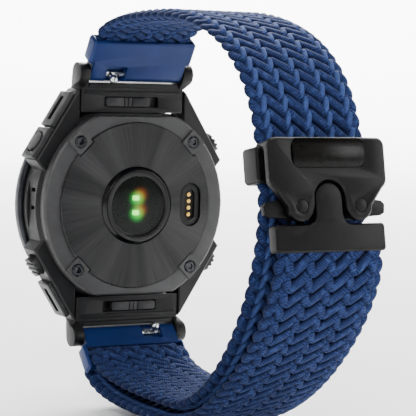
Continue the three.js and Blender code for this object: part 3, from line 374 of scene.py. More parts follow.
@dataclass(frozen=True)
class SensorGlass(TintedGlass):
    """Tinted glass over two lit chips, with a soft green halo painted on the glass round each, warmer on
    one side.
    """

    halo: str = "#1fd04a"
    warm: str = "#ff7a2a"
    chip_z_mm: float = 1.75
    halo_mm: float = 3.4
    power: float = 1.0

    def dress(self, tree: bpy.types.NodeTree, shader: bpy.types.Node) -> bpy.types.NodeSocket:
        """The painted halos glow on the glass and fade with the distance from each chip, measured in X and
        Z.
        """
        glass = super().dress(tree, shader)
        place = add_node(tree, "ShaderNodeTexCoord")
        # Painted light: each chip's halo is emission on the glass, not light from a lamp.
        total = glass
        for sign in (1.0, -1.0):
            for colour, shift, share in ((self.halo, (-0.25, -0.1), 1.0), (self.warm, (0.55, 0.75), 0.28)):
                spot = self.spot(
                    tree, place.outputs["Object"], shift[0], sign * self.chip_z_mm + shift[1], colour, share
                )
                joined = add_node(tree, "ShaderNodeAddShader", {0: total, 1: spot})
                total = joined.outputs["Shader"]
        return total

    def spot(
        self,
        tree: bpy.types.NodeTree,
        place: bpy.types.NodeSocket,
        x_mm: float,
        z_mm: float,
        colour: str,
        share: float,
    ) -> bpy.types.NodeSocket:
        """One soft round glow painted on the glass.

        Args:
            tree: the node tree.
            place: the object-space position.
            x_mm: the glow's centre along X.
            z_mm: the glow's centre along Z.
            colour: hex colour of the glow.
            share: its share of the full power.

        Returns:
            The emission shader's socket.
        """
        flat = add_node(
            tree, "ShaderNodeVectorMath", {0: place, 1: (1.0, 0.0, 1.0)}, operation="MULTIPLY"
        )
        away = add_node(
            tree,
            "ShaderNodeVectorMath",
            {0: flat.outputs["Vector"], 1: (x_mm * MM, 0.0, z_mm * MM)},
            operation="DISTANCE",
        )
        ranged = add_node(
            tree,
            "ShaderNodeMapRange",
            {
                "Value": away.outputs["Value"],
                "From Max": self.halo_mm * MM,
                "To Min": 1.0,
                "To Max": 0.0,
            },
            interpolation_type="SMOOTHERSTEP",
        )
        peaked = add_node(
            tree, "ShaderNodeMath", {0: ranged.outputs["Result"], 1: 2.2}, operation="POWER"
        )
        level = add_node(
            tree,
            "ShaderNodeMath",
            {0: peaked.outputs["Value"], 1: self.power * share},
            operation="MULTIPLY",
        )
        glow = add_node(
            tree, "ShaderNodeEmission", {"Color": linear(colour), "Strength": level.outputs["Value"]}
        )
        return glow.outputs["Emission"]


@dataclass(frozen=True)
class LitResin(Finish):
    """Clear resin over a light-emitting chip: brightest in its middle, with a warmer rim."""

    core: str = "#fff08a"
    rim: str = "#4fe060"
    power: float = 18.0

    def dress(self, tree: bpy.types.NodeTree, shader: bpy.types.Node) -> bpy.types.NodeSocket:
        """The glow falls from the chip's middle to its edge."""
        place = add_node(tree, "ShaderNodeTexCoord")
        middle = add_node(
            tree,
            "ShaderNodeVectorMath",
            {0: place.outputs["Generated"], 1: (0.5, 0.5, 0.5)},
            operation="DISTANCE",
        )
        colour = self.two_tone(tree, middle.outputs["Value"], self.core, self.rim, (0.3, 0.85))
        shader.inputs["Roughness"].default_value = 0.2
        shader.inputs["Emission Strength"].default_value = self.power
        tree.links.new(colour, shader.inputs["Base Color"])
        tree.links.new(colour, shader.inputs["Emission Color"])
        return shader.outputs["BSDF"]


@dataclass(frozen=True)
class PatternedChip(Finish):
    """Silicon or circuit board under a clear coat: a fine grid of lines in a lighter shade."""

    dark: str = "#0e2a22"
    light: str = "#2f6a58"
    pitch_mm: float = 0.5

    def dress(self, tree: bpy.types.NodeTree, shader: bpy.types.Node) -> bpy.types.NodeSocket:
        """The grid comes from a brick texture laid on X and Z."""
        place = add_node(tree, "ShaderNodeTexCoord")
        turned = add_node(
            tree,
            "ShaderNodeMapping",
            {"Vector": place.outputs["Object"], "Rotation": (math.radians(90), 0.0, 0.0)},
        )
        grid = add_node(
            tree,
            "ShaderNodeTexBrick",
            {
                "Vector": turned.outputs["Vector"],
                "Color1": linear(self.dark),
                "Color2": linear(self.dark),
                "Mortar": linear(self.light),
                "Scale": per_mm(self.pitch_mm),
                "Mortar Size": 0.08,
                "Brick Width": 1.0,
                "Row Height": 1.0,
            },
        )
        shader.inputs["Roughness"].default_value = 0.25
        shader.inputs["Coat Weight"].default_value = 0.5
        tree.links.new(grid.outputs["Color"], shader.inputs["Base Color"])
        return shader.outputs["BSDF"]


@dataclass(frozen=True)
class DialDisplay(Finish):
    """A display panel behind glass, showing a plain dial: sixty marks, every fifth one longer."""

    ground: str = "#050608"
    mark: str = "#9fb4c8"
    radius_mm: float = 19.6

    def dress(self, tree: bpy.types.NodeTree, shader: bpy.types.Node) -> bpy.types.NodeSocket:
        """Marks from the angle about Y and the distance from the centre."""
        place = add_node(tree, "ShaderNodeTexCoord")
        axes = add_node(tree, "ShaderNodeSeparateXYZ", {"Vector": place.outputs["Object"]})
        angle = add_node(
            tree, "ShaderNodeMath", {0: axes.outputs["Z"], 1: axes.outputs["X"]}, operation="ARCTAN2"
        )
        flat = add_node(
            tree, "ShaderNodeCombineXYZ", {"X": axes.outputs["X"], "Y": axes.outputs["Z"]}
        )
        reach = add_node(tree, "ShaderNodeVectorMath", {0: flat.outputs["Vector"]}, operation="LENGTH")
        masks = []
        for count, inner, width in ((60, 0.9, 0.9), (12, 0.8, 0.94)):
            turns = add_node(
                tree, "ShaderNodeMath", {0: angle.outputs["Value"], 1: float(count)}, operation="MULTIPLY"
            )
            wave = add_node(tree, "ShaderNodeMath", {0: turns.outputs["Value"]}, operation="COSINE")
            narrow = add_node(
                tree, "ShaderNodeMath", {0: wave.outputs["Value"], 1: width}, operation="GREATER_THAN"
            )
            beyond = add_node(
                tree,
                "ShaderNodeMath",
                {0: reach.outputs["Value"], 1: inner * self.radius_mm * MM},
                operation="GREATER_THAN",
            )
            both = add_node(
                tree,
                "ShaderNodeMath",
                {0: narrow.outputs["Value"], 1: beyond.outputs["Value"]},
                operation="MULTIPLY",
            )
            masks.append(both.outputs["Value"])
        either = add_node(tree, "ShaderNodeMath", {0: masks[0], 1: masks[1]}, operation="MAXIMUM")
        colour = self.two_tone(tree, either.outputs["Value"], self.ground, self.mark, (0.2, 0.8))
        shader.inputs["Roughness"].default_value = 0.3
        shader.inputs["Emission Strength"].default_value = 0.35
        tree.links.new(colour, shader.inputs["Base Color"])
        tree.links.new(colour, shader.inputs["Emission Color"])
        return shader.outputs["BSDF"]


@dataclass(frozen=True)
class KnittedCord(Finish):
    """Nylon cord with a knitted cover over elastic: soft blue loops, with painted shade where they meet and
    along each cord's flanks, and a painted highlight on the raised crossings.
    """

    # shade is painted shade and tip is a painted highlight; body is the cord's own blue.
    shade: str = "#030c2c"
    body: str = "#182c5c"
    highlight_tip: str = "#3a5088"
    loop_mm: float = 0.46

    def dress(self, tree: bpy.types.NodeTree, shader: bpy.types.Node) -> bpy.types.NodeSocket:
        """Chevron ribs from the length along each cord and the place across it, with painted shade in their
        troughs and on the flanks, and a painted highlight on the raised crossings.
        """
        along = add_node(tree, "ShaderNodeAttribute", attribute_name="along_mm")
        side = add_node(tree, "ShaderNodeAttribute", attribute_name="across")
        tilt = add_node(tree, "ShaderNodeMath", {0: side.outputs["Fac"]}, operation="ABSOLUTE")
        lean = add_node(
            tree, "ShaderNodeMath", {0: tilt.outputs["Value"], 1: 0.45}, operation="MULTIPLY"
        )
        run = add_node(
            tree, "ShaderNodeMath", {0: along.outputs["Fac"], 1: 1.0 / self.loop_mm}, operation="MULTIPLY"
        )
        phase = add_node(
            tree, "ShaderNodeMath", {0: run.outputs["Value"], 1: lean.outputs["Value"]}, operation="ADD"
        )
        turn = add_node(
            tree, "ShaderNodeMath", {0: phase.outputs["Value"], 1: 2 * math.pi}, operation="MULTIPLY"
        )
        wave = add_node(tree, "ShaderNodeMath", {0: turn.outputs["Value"]}, operation="SINE")
        rib = add_node(
            tree,
            "ShaderNodeMapRange",
            {"Value": wave.outputs["Value"], "From Min": -1.0, "From Max": 1.0},
        )
        fibre = self.noise(tree, 0.22, 3.0)
        blend = add_node(
            tree,
            "ShaderNodeMath",
            {0: rib.outputs["Result"], 1: fibre},
            operation="MULTIPLY",
        )
        # Painted shade: the troughs of the ribs, where the loops meet, take the shade colour.
        ribs_and_crease_shade = self.two_tone(tree, blend.outputs["Value"], self.shade, self.body, (0.02, 0.34))
        heather = self.noise(tree, 1.1, 2.0)
        light = add_node(
            tree,
            "ShaderNodeMapRange",
            {"Value": heather, "From Min": 0.5, "From Max": 0.8, "To Max": 0.6},
        )
        # Painted highlight: the raised crossings are pushed towards the tip colour; the heather noise adds
        # a random lighter tone.
        raised = add_node(tree, "ShaderNodeAttribute", attribute_name="raised")
        raised_highlight_and_heather = add_node(
            tree,
            "ShaderNodeMath",
            {0: raised.outputs["Fac"], 1: 0.55, 2: light.outputs["Result"]},
            operation="MULTIPLY_ADD",
            use_clamp=True,
        )
        lit = add_node(
            tree,
            "ShaderNodeMix",
            {0: raised_highlight_and_heather.outputs["Value"], 6: ribs_and_crease_shade, 7: linear(self.highlight_tip)},
            data_type="RGBA",
        )
        # Painted shade: each cord darkens towards its flanks, where it turns away from the light.
        flank_shade = add_node(
            tree,
            "ShaderNodeMapRange",
            {"Value": tilt.outputs["Value"], "From Min": 0.45, "From Max": 1.0, "To Max": 0.85},
        )
        colour = add_node(
            tree,
            "ShaderNodeMix",
            {0: flank_shade.outputs["Result"], 6: lit.outputs[2], 7: linear(self.shade)},
            data_type="RGBA",
        )
        shader.inputs["Roughness"].default_value = 0.88
        shader.inputs["Specular IOR Level"].default_value = 0.25
        shader.inputs["Sheen Weight"].default_value = 0.12
        shader.inputs["Sheen Roughness"].default_value = 0.4
        shader.inputs["Sheen Tint"].default_value = linear("#8094c4")
        tree.links.new(colour.outputs[2], shader.inputs["Base Color"])
        tree.links.new(self.bump(tree, blend.outputs["Value"], 0.09, 0.7), shader.inputs["Normal"])
        return shader.outputs["BSDF"]


@dataclass(frozen=True)
class PaintedFloor(Finish):
    """A smooth pale sheet under and behind the object."""

    colour: str = "#f4f4f4"

    def dress(self, tree: bpy.types.NodeTree, shader: bpy.types.Node) -> bpy.types.NodeSocket:
        """Plain and matt."""
        shader.inputs["Base Color"].default_value = linear(self.colour)
        shader.inputs["Roughness"].default_value = 0.9
        return shader.outputs["BSDF"]


class Surface(Enum):
    """The finishes on this object, and the nodes that each one covers."""

    # Matt black with a fine even grain, which takes soft highlights along the edges.
    CASE = (
        MouldedPolymer("moulded_nylon_case"),
        ("mid_case", "adapter_upper", "adapter_lower", "port_housing"),
    )
    # Dark satin grey, slightly lighter than the case, with a broad soft sheen.
    GUARD = (
        CoatedMetal("blasted_coated_guard_metal", "#1b1b1c", "#29292a", 0.35, (0.38, 0.5)),
        (
            "guard_upper",
            "guard_lower",
            "guard_start",
            "button_start",
            "button_back",
            "button_light",
            "button_up",
            "button_down",
            "latch_upper",
            "latch_lower",
        ),
    )
    # Smoky grey metal that picks up wide, smooth reflections.
    BEZEL = (CoatedMetal("coated_bezel_metal", "#232427", "#33353a", 0.85, (0.26, 0.36)), ("bezel",))
    # Dull mid grey with hardly any gloss.
    COVER = (CoatedMetal("blasted_back_cover", "#353535", "#414141", 0.35, (0.42, 0.54)), ("back_cover",))
    # Dark steel with bright and dark rays that fan out from the centre, and painted wedges of reflection.
    DISC = (SunburstSteel("sunburst_brushed_disc"), ("brushed_disc",))
    # Deep black with a narrow, sharp highlight.
    RING = (
        CoatedMetal(
            "gloss_black_sensor_ring", "#030303", "#060606", 0.0, (0.14, 0.22), 0.6, 0.004, 0.0, 0.3
        ),
        ("sensor_ring",),
    )
    # Bright silver with fine scratches.
    STEEL = (
        PolishedMetal("polished_steel"),
        (
            "lug_pin_upper",
            "lug_pin_lower",
            "spring_bar_upper",
            "spring_bar_lower",
            "quick_lever_upper",
            "quick_lever_lower",
            "vibration_motor",
        ),
    )
    # Dark metal that glints at its recess.
    SCREW = (
        PolishedMetal("coated_screw_steel", "#2b2c2e", "#47484b"),
        ("cover_screw_1", "cover_screw_2", "cover_screw_3", "cover_screw_4"),
    )
    # Warm, bright dots against black.
    GOLD = (
        PolishedMetal("gold_plated_contact", "#c89a45", "#e8c477", 0.3),
        ("charge_pin_1", "charge_pin_2", "charge_pin_3", "charge_pin_4"),
    )
    # Nearly black glass with two green glows painted on it over the chips.
    WINDOW = (SensorGlass("tinted_sensor_glass", "#a9bfb2", "#010101", 0.3), ("sensor_window",))
    # Clear grey gloss over a dark dial.
    GLASS = (TintedGlass("front_cover_glass", "#9aa0a4", "#050607", 0.35, (0.16, 0.22)), ("front_glass",))
    # A black dial with faint pale marks at its rim.
    DISPLAY = (DialDisplay("dial_display"), ("display_panel",))
    # Near-black green with faint lines.
    BOARD = (PatternedChip("circuit_board", "#050a08", "#0a1510", 1.2), ("sensor_board", "main_board"))
    # Dull green squares under the glass.
    DIODE = (
        PatternedChip("photodiode_silicon", "#173a2a", "#24503c", 0.6),
        ("photodiode_1", "photodiode_2", "photodiode_3", "photodiode_4"),
    )
    # The brightest points of the object, yellow-green.
    LED = (LitResin("lit_green_resin"), ("sensor_led_1", "sensor_led_2"))
    # Plain silver-grey sheen.
    FOIL = (CoatedMetal("battery_foil", "#8d9094", "#a9acb0", 0.8, (0.3, 0.45), 1.5, 0.1), ("battery",))
    # Soft black without gloss.
    GASKET = (MouldedPolymer("moulded_gasket_rubber", "#0c0c0c", "#161616", 0.5), ("cover_gasket",))
    # Deep blue satin with a soft sheen along its length.
    BLUE = (
        CoatedMetal(
            "blue_anodised_metal", "#0f2350", "#15295a", 0.25, (0.3, 0.4), 0.28, 0.01, 0.0, 0.25
        ),
        ("connector_upper", "connector_lower"),
    )
    # Smooth warm black satin with soft edge highlights.
    BUCKLE = (
        CoatedMetal(
            "satin_black_coated_metal", "#040303", "#080707", 0.0, (0.32, 0.42), 0.3, 0.008, 0.0, 0.2
        ),
        (
            "keeper_loop",
            "buckle_cover",
            "release_lever_left",
            "release_lever_right",
            "rivet_left",
            "rivet_right",
            "tongue_plate",
        ),
    )
    # Black with more gloss than the buckle around it.
    INSET = (
        CoatedMetal(
            "gloss_black_coated_metal", "#040302", "#080605", 0.0, (0.22, 0.3), 0.6, 0.004, 0.0, 0.15
        ),
        ("buckle_inset",),
    )


@dataclass
class HardParts:
    """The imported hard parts: finishes, smooth shading and small edge rounds."""

    smooth_deg: float = 28.0
    edge_mm: float = 0.12
    round_deg: float = 38.0
    weld_mm: float = 0.002
    plain: tuple[str, ...] = ("front_glass", "sensor_window", "display_panel", "brushed_disc")

    def dress(self) -> int:
        """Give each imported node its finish.

        Returns:
            How many nodes were dressed.
        """
        count = 0
        for surface in Surface:
            finish, names = surface.value
            material = finish.build()
            for name in names:
                self.one(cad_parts[name], material)
                count += 1
        return count

    def one(self, part: bpy.types.Object, material: bpy.types.Material) -> None:
        """Put a material on a part and soften its edges.

        Args:
            part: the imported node's object.
            material: its finish.
        """
        part.data.materials.clear()
        part.data.materials.append(material)
        part.data.polygons.foreach_set("use_smooth", [True] * len(part.data.polygons))
        weld = part.modifiers.new("weld", "WELD")
        weld.merge_threshold = self.weld_mm * MM
        if part.name not in self.plain:
            bevel = part.modifiers.new("edge_round", "BEVEL")
            bevel.width = self.edge_mm * MM
            bevel.segments = 2
            bevel.limit_method = "ANGLE"
            bevel.angle_limit = math.radians(self.round_deg)
            bevel.harden_normals = False
        sharp = part.modifiers.new("smooth_by_angle", "EDGE_SPLIT")
        sharp.split_angle = math.radians(self.smooth_deg)


@dataclass
class StrapRoute:
    """The strap's centreline in Y and Z, in millimetres, from the upper connector to the T-bar."""

    bar: tuple[float, float] = (40.8, 31.2)
    upper_tilt: float = 31.0
    lower_tilt: float = 42.0
    body_z0: float = 3.2
    body_z1: float = 9.6
    end_bar_z: float = 8.3
    wrap: float = 2.72
    crest: tuple[float, float] = (6.0, 44.5)
    low_in: tuple[float, float] = (-1.0, -39.6)
    low_out: tuple[float, float] = (2.0, -43.9)
    buckle: tuple[float, float] = (-38.0, 11.0)
    buckle_tilt: float = 11.0
    keeper: tuple[float, float] = (-0.4, 7.0)
    tbar_y: float = -4.45
    tbar_bottom: float = -14.6
    tail_end: float = -11.4
    step: float = ROW_MM / STEPS_PER_ROW

    def upper(self, y: float, z: float) -> np.ndarray:
        """A point of the upper connector's frame."""
        a = math.radians(self.upper_tilt)
        return np.array(
            [
                self.bar[0] + y * math.cos(a) - z * math.sin(a),
                self.bar[1] + y * math.sin(a) + z * math.cos(a),
            ]
        )

    def lower(self, y: float, z: float) -> np.ndarray:
        """A point of the lower connector's frame."""
        a = math.radians(self.lower_tilt)
        return np.array(
            [
                self.bar[0] + y * math.cos(a) - z * math.sin(a),
                -self.bar[1] - y * math.sin(a) - z * math.cos(a),
            ]
        )

    def at_buckle(self, y: float, z: float) -> np.ndarray:
        """A point of the buckle's frame."""
        a = math.radians(self.buckle_tilt)
        return np.array(
            [
                self.buckle[0] + y * math.cos(a) + z * math.sin(a),
                self.buckle[1] - y * math.sin(a) + z * math.cos(a),
            ]
        )

    @staticmethod
    def bezier(a: np.ndarray, b: np.ndarray, c: np.ndarray, d: np.ndarray, n: int = 60) -> np.ndarray:
        """Points on a cubic curve.

        Args:
            a: its start.
            b: the first handle.
            c: the second handle.
            d: its end.
            n: how many points.

        Returns:
            An n by 2 array.
        """
        t = np.linspace(0, 1, n)[:, None]
        a, b, c, d = (np.asarray(p, float) for p in (a, b, c, d))
        return (1 - t) ** 3 * a + 3 * (1 - t) ** 2 * t * b + 3 * (1 - t) * t * t * c + t**3 * d

    def line(self) -> tuple[np.ndarray, np.ndarray, float]:
        """The whole route at even steps.

        Returns:
            The points, the outward normals, and the length at which the sliding part begins.
        """
        crest, low, out = (np.array(p) for p in (self.crest, self.low_in, self.low_out))
        wrap_in = self.lower(-self.wrap, self.end_bar_z)
        turn = [
            self.lower(
                self.wrap * math.cos(math.pi + math.pi * i / 24),
                self.end_bar_z + self.wrap * math.sin(math.pi + math.pi * i / 24),
            )
            for i in range(25)
        ]
        bottom = self.at_buckle(self.tbar_y, self.tbar_bottom)
        runs = [
            np.array([self.upper(0, self.body_z0 + 2.5), self.upper(0, self.body_z1)]),
            self.bezier(
                self.upper(0, self.body_z1), self.upper(0, self.body_z1 + 5), crest + (13, 0), crest
            ),
            self.bezier(
                crest,
                crest - (24, 0),
                self.at_buckle(0, self.keeper[1] + 17),
                self.at_buckle(0, self.keeper[1]),
            ),
            np.array([self.at_buckle(0, self.keeper[1]), self.at_buckle(0, self.keeper[0])]),
            self.bezier(
                self.at_buckle(0, self.keeper[0]),
                self.at_buckle(0, self.keeper[0] - 19),
                low - (23, 0),
                low,
            ),
            self.bezier(low, low + (12, 0), self.lower(-self.wrap, self.end_bar_z + 6), wrap_in),
            np.array(turn),
        ]
        tail = [
            self.bezier(
                self.lower(self.wrap, self.end_bar_z),
                self.lower(self.wrap, self.end_bar_z + 6),
                out + (18, -0.6),
                out,
            ),
            self.bezier(
                out,
                out + (-25, 0.4),
                self.at_buckle(self.tbar_y, self.tbar_bottom - 12),
                bottom,
            ),
            np.array([bottom, self.at_buckle(self.tbar_y, self.tail_end)]),
        ]
        main_length = self.length(np.concatenate(runs))
        points = np.concatenate(runs + tail)
        keep = np.r_[True, np.linalg.norm(np.diff(points, axis=0), axis=1) > 1e-6]
        points = points[keep]
        s = np.r_[0, np.cumsum(np.linalg.norm(np.diff(points, axis=0), axis=1))]
        count = int(s[-1] / self.step) + 1
        even = np.arange(count) * self.step
        line = np.stack([np.interp(even, s, points[:, 0]), np.interp(even, s, points[:, 1])], 1)
        tangent = np.gradient(line, axis=0)
        kernel = np.ones(7) / 7
        tangent = np.stack(
            [np.convolve(np.pad(tangent[:, i], 3, "edge"), kernel, "valid") for i in (0, 1)], 1
        )
        tangent /= np.linalg.norm(tangent, axis=1)[:, None]
        normal = np.stack([tangent[:, 1], -tangent[:, 0]], 1)
        return line, normal, main_length

    @staticmethod
    def length(points: np.ndarray) -> float:
        """The length of a run of points."""
        return float(np.linalg.norm(np.diff(points, axis=0), axis=1).sum())


@dataclass
class BraidedStrap:
    """A flat braid of cords. Each cord zigzags from edge to edge, over three and under one."""

    route: StrapRoute = field(default_factory=StrapRoute)
    columns: int = 20
    column_mm: float = 1.25
    row_mm: float = ROW_MM
    half_width: float = 1.14
    half_thick: float = 0.72
    lift: float = 0.66
    sides: int = 10
    stand_up: float = 0.4
    steps_per_row: int = STEPS_PER_ROW
    # Size of the dark sheet that stands in for shade between the cords.
    shade_sheet_width: float = 21.5
    shade_sheet_thick: float = 0.3

    def build(self, material: bpy.types.Material) -> list[bpy.types.Object]:
        """Make the fixed and the sliding part of the strap.

        Args:
            material: the cord's finish.

        Returns:
            The two pieces.
        """
        line, normal, main_length = self.route.line()
        split = int(round(main_length / self.row_mm)) * self.steps_per_row
        last = len(line) - 1
        main = self.mesh("strap_braid_main", line, normal, 0, split, False)
        tail = self.mesh("strap_braid_tail", line, normal, split, last, True)
        for piece in (main, tail):
            piece.data.materials.append(material)
        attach(main, "watch_and_band")
        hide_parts("strap_main")
        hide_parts("strap_tail")
        end_y, end_z = self.route.at_buckle(self.route.tbar_y, self.route.tbar_bottom)
        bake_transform(tail)
        return [main, tail]

    def mesh(
        self, name: str, line: np.ndarray, normal: np.ndarray, first: int, last: int, mirrored: bool
    ) -> bpy.types.Object:
        """Sweep every cord between two steps of the route.

        Args:
            name: the new object's name.
            line: the route's points, Y and Z.
            normal: the outward normals.
            first: the first step.
            last: the last step.
            mirrored: whether the braid runs the other way.

        Returns:
            The new object, with the length along each cord and the place across it as attributes.
        """
        steps = np.arange(first, last + 1)
        verts, faces, along, across, raised = [], [], [], [], []
        angles = np.linspace(0, 2 * np.pi, self.sides, endpoint=False)
        base = 0
        for strand in range(self.columns):
            centre, wide, thick, top = self.cord(line, normal, steps, strand, mirrored)
            tangent = np.gradient(centre, axis=0)
            tangent /= np.linalg.norm(tangent, axis=1)[:, None]
            out = np.stack([np.zeros(len(steps)), normal[steps, 0], normal[steps, 1]], 1)
            out -= (out * tangent).sum(1)[:, None] * tangent
            out /= np.linalg.norm(out, axis=1)[:, None]
            side = np.cross(tangent, out)
            ring = (
                centre[:, None, :]
                + side[:, None, :] * (np.cos(angles)[None, :, None] * wide[:, None, None])
                + out[:, None, :] * (np.sin(angles)[None, :, None] * thick[:, None, None])
            )
            n = len(steps)
            verts.append(ring.reshape(-1, 3))
            run = np.r_[0, np.cumsum(np.linalg.norm(np.diff(centre, axis=0), axis=1))]
            along.append(np.repeat(run + strand * 0.37, self.sides))
            across.append(np.tile(np.cos(angles), n))
            raised.append(np.repeat(top, self.sides))
            i = np.arange(n - 1)[:, None] * self.sides
            j = np.arange(self.sides)[None, :]
            k = (j + 1) % self.sides
            quads = np.stack([i + j, i + self.sides + j, i + self.sides + k, i + k], -1).reshape(-1, 4)
            faces.extend((quads + base).tolist())
            faces.append([base + q for q in range(self.sides)])
            faces.append([base + (n - 1) * self.sides + q for q in reversed(range(self.sides))])
            base += n * self.sides
        # Painted shade: a dark sheet in the cord's finish, with across at 1 so that it takes the full flank
        # shade, fills the openings between cords.
        shade_sheet_verts, shade_sheet_faces = self.core(line, normal, steps, base)
        verts.append(shade_sheet_verts)
        faces.extend(shade_sheet_faces)
        along.append(np.zeros(len(shade_sheet_verts)))
        across.append(np.ones(len(shade_sheet_verts)))
        raised.append(np.zeros(len(shade_sheet_verts)))
        mesh = bpy.data.meshes.new(name)
        mesh.from_pydata((np.concatenate(verts) * MM).tolist(), [], faces)
        for key, values in (("along_mm", along), ("across", across), ("raised", raised)):
            attribute = mesh.attributes.new(key, "FLOAT", "POINT")
            attribute.data.foreach_set("value", np.concatenate(values).astype(np.float32))
        mesh.polygons.foreach_set("use_smooth", [True] * len(mesh.polygons))
        mesh.update()
        piece = bpy.data.objects.new(name, mesh)
        bpy.context.scene.collection.objects.link(piece)
        return piece

    def core(
        self, line: np.ndarray, normal: np.ndarray, steps: np.ndarray, base: int
    ) -> tuple[np.ndarray, list]:
        """A flat dark sheet inside the braid that stands in for the shade in the openings between cords.

        Args:
            line: the route's points, Y and Z.
            normal: the outward normals.
            steps: the steps of the route to cover.
            base: the number of its first vertex.

        Returns:
            Its vertices and its faces.
        """
        corners = []
        for x, off in ((-1, -1), (1, -1), (1, 1), (-1, 1)):
            flat = line[steps] + normal[steps] * (off * self.shade_sheet_thick / 2)
            corners.append(np.column_stack([np.full(len(steps), x * self.shade_sheet_width / 2), flat]))
        verts = np.stack(corners, 1).reshape(-1, 3)
        i = np.arange(len(steps) - 1)[:, None] * 4 + base
        j = np.arange(4)[None, :]
        k = (j + 1) % 4
        faces = np.stack([i + j, i + 4 + j, i + 4 + k, i + k], -1).reshape(-1, 4).tolist()
        end = base + (len(steps) - 1) * 4
        faces.extend([[base, base + 1, base + 2, base + 3], [end + 3, end + 2, end + 1, end]])
        return verts, faces

    def cord(
        self, line: np.ndarray, normal: np.ndarray, steps: np.ndarray, strand: int, mirrored: bool
    ) -> tuple[np.ndarray, np.ndarray, np.ndarray, np.ndarray]:
        """One cord's centreline and size.

        Args:
            line: the route's points, Y and Z.
            normal: the outward normals.
            steps: the steps of the route to cover.
            strand: the cord's number.
            mirrored: whether the braid runs the other way.

        Returns:
            The centre points, the half widths, the half thicknesses, and how far each crossing stands up.
        """
        tau = steps * self.route.step / self.row_mm + 2 * strand
        phase = np.mod(tau, 2 * self.columns)
        column = np.abs(phase - self.columns) - self.columns / 2
        rising = np.where(phase >= self.columns, 1.0, -1.0)
        edge = self.columns / 2 - np.abs(column)
        gap = np.abs(column - 4 * np.round(column / 4))
        full = self.ease(np.clip((1.22 - gap) / 0.5, 0, 1))
        soft = self.ease(np.clip((1.25 - gap) / 0.95, 0, 1))
        pill = np.where(rising < 0, full, soft)
        calm = self.ease(np.clip(edge / 1.3, 0, 1))
        level = rising * (1 - 2 * pill) * calm
        rounded = np.sign(column) * (self.columns / 2 - np.sqrt(edge**2 + 0.3))
        rounded -= self.stand_up * np.sin(np.pi * column / 2) * calm
        squeeze, narrow = self.ends(steps, len(line))
        x = rounded * self.column_mm * narrow * (-1 if mirrored else 1)
        off = level * self.lift * squeeze
        centre = np.stack(
            [x, line[steps, 0] + normal[steps, 0] * off, line[steps, 1] + normal[steps, 1] * off], 1
        )
        narrow_pill = np.where(rising < 0, 0.33, 0.05) * self.ease(np.clip((1.5 - gap) / 0.8, 0, 1))
        wide = self.half_width * (1 - narrow_pill * calm + 0.1 * (1 - calm))
        thick = self.half_thick * squeeze * (1 + 0.1 * pill)
        return centre, wide, thick, np.where(rising < 0, pill, 0.0) * calm

    @staticmethod
    def ease(t: np.ndarray) -> np.ndarray:
        """A smooth step from 0 to 1."""
        return t * t * (3 - 2 * t)

    def ends(self, steps: np.ndarray, count: int) -> tuple[np.ndarray, np.ndarray]:
        """How far the strap is pressed together inside its two end pockets.

        Args:
            steps: the steps of the route.
            count: how many steps the route has.

        Returns:
            The shares of thickness and of width that are left.
        """
        near = np.minimum(steps, count - 1 - steps) * self.route.step
        t = self.ease(np.clip((near - 2.5) / 4.0, 0, 1))
        return 0.78 + 0.22 * t, 0.965 + 0.035 * t


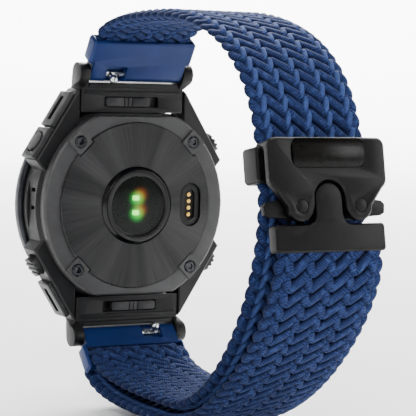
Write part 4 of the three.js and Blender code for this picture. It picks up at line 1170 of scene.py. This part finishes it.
@dataclass
class Studio:
    """A pale sheet, soft lights and the camera."""

    azimuth: float = -30.0
    elevation: float = 4.6
    roll: float = 1.7
    distance: float = 0.4
    sensor_mm: float = 36.0
    lens_mm: float = 157.41346
    aim_mm: tuple[float, float] = (-1.69324, 2.55085)
    floor_drop: float = 0.0012
    spokes: int = 64
    rings: tuple[tuple[float, float], ...] = (
        (0.5, 0.0),
        (1.2, 0.0),
        (2.2, 0.12),
        (3.0, 0.5),
        (3.4, 1.4),
        (3.4, 3.0),
    )

    def build(self) -> None:
        """Make the camera, the sheet and the lights."""
        self.camera()
        self.sheet()
        self.lights()

    def axes(self) -> tuple[Vector, Vector, Vector]:
        """The camera's back, right and up directions."""
        a, e, r = (math.radians(v) for v in (self.azimuth, self.elevation, self.roll))
        back = Vector((math.sin(a) * math.cos(e), -math.cos(a) * math.cos(e), math.sin(e)))
        right = (-back).cross(Vector((0, 0, 1))).normalized()
        up = right.cross(-back)
        return back, right * math.cos(r) + up * math.sin(r), up * math.cos(r) - right * math.sin(r)

    def camera(self) -> None:
        """Aim a little to the left of the wrist's centre and above it."""
        back, right, up = self.axes()
        aim = right * (self.aim_mm[0] * MM) + up * (self.aim_mm[1] * MM)
        data = bpy.data.cameras.new("camera")
        data.sensor_width = self.sensor_mm
        data.lens = self.lens_mm
        data.clip_start = 0.01
        data.clip_end = 20.0
        camera = bpy.data.objects.new("camera", data)
        turn = Matrix((right, up, back)).transposed().to_4x4()
        camera.matrix_world = Matrix.Translation(aim + back * self.distance) @ turn
        bpy.context.scene.collection.objects.link(camera)
        bpy.context.scene.camera = camera

    def sheet(self) -> None:
        """A floor that curves up into a backdrop all round."""
        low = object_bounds()[0].z - self.floor_drop
        spokes = self.spokes
        verts, faces = [], []
        for radius, height in self.rings:
            for i in range(spokes):
                a = 2 * math.pi * i / spokes
                verts.append((radius * math.cos(a), radius * math.sin(a), low + height))
        faces.append(list(range(spokes)))
        for r in range(len(self.rings) - 1):
            for i in range(spokes):
                j = (i + 1) % spokes
                faces.append([r * spokes + i, (r + 1) * spokes + i, (r + 1) * spokes + j, r * spokes + j])
        mesh = bpy.data.meshes.new("pale_sheet")
        mesh.from_pydata(verts, [], faces)
        mesh.polygons.foreach_set("use_smooth", [True] * len(mesh.polygons))
        floor = bpy.data.objects.new("pale_sheet", mesh)
        floor.data.materials.append(PaintedFloor("painted_pale_sheet").build())
        bpy.context.scene.collection.objects.link(floor)
        floor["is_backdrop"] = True

    def lights(self) -> None:
        """A large soft key, a fill, a top light and a bright world."""
        world = bpy.data.worlds.new("studio_air")
        world.use_nodes = True
        world.node_tree.nodes["Background"].inputs[0].default_value = linear("#f2f4f7")
        world.node_tree.nodes["Background"].inputs[1].default_value = 0.2
        bpy.context.scene.world = world
        for name, place, target, size, power in (
            ("key", (-0.6, -0.85, 0.75), (0.0, 0.0, 0.0), 0.45, 9.5),
            ("fill", (0.8, -0.7, 0.35), (0.0, 0.0, 0.0), 0.35, 2.5),
            ("top", (0.1, 0.1, 1.0), (0.0, 0.0, 0.0), 0.5, 5.0),
            ("far_sheet", (0.9, 1.6, 1.2), (0.95, 1.7, -0.05), 1.6, 230.0),
        ):
            data = bpy.data.lights.new(name, "AREA")
            data.shape = "SQUARE"
            data.size = size
            data.energy = power
            lamp = bpy.data.objects.new(name, data)
            lamp.location = place
            lamp.rotation_mode = "QUATERNION"
            lamp.rotation_quaternion = (Vector(target) - Vector(place)).to_track_quat("-Z", "Y")
            bpy.context.scene.collection.objects.link(lamp)


def write_sizes() -> None:
    """Bring the scene up to date."""
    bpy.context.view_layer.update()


def main() -> None:
    """Build the looks in order and report each piece."""
    count = HardParts().dress()
    LOG.info("hard parts dressed: %d", count)
    for piece in BraidedStrap().build(KnittedCord("knitted_nylon_cord").build()):
        LOG.info("%s: %d faces", piece.name, len(piece.data.polygons))
    Studio().build()
    LOG.info("studio ready")
    write_sizes()


if __name__ == "__main__":
    main()
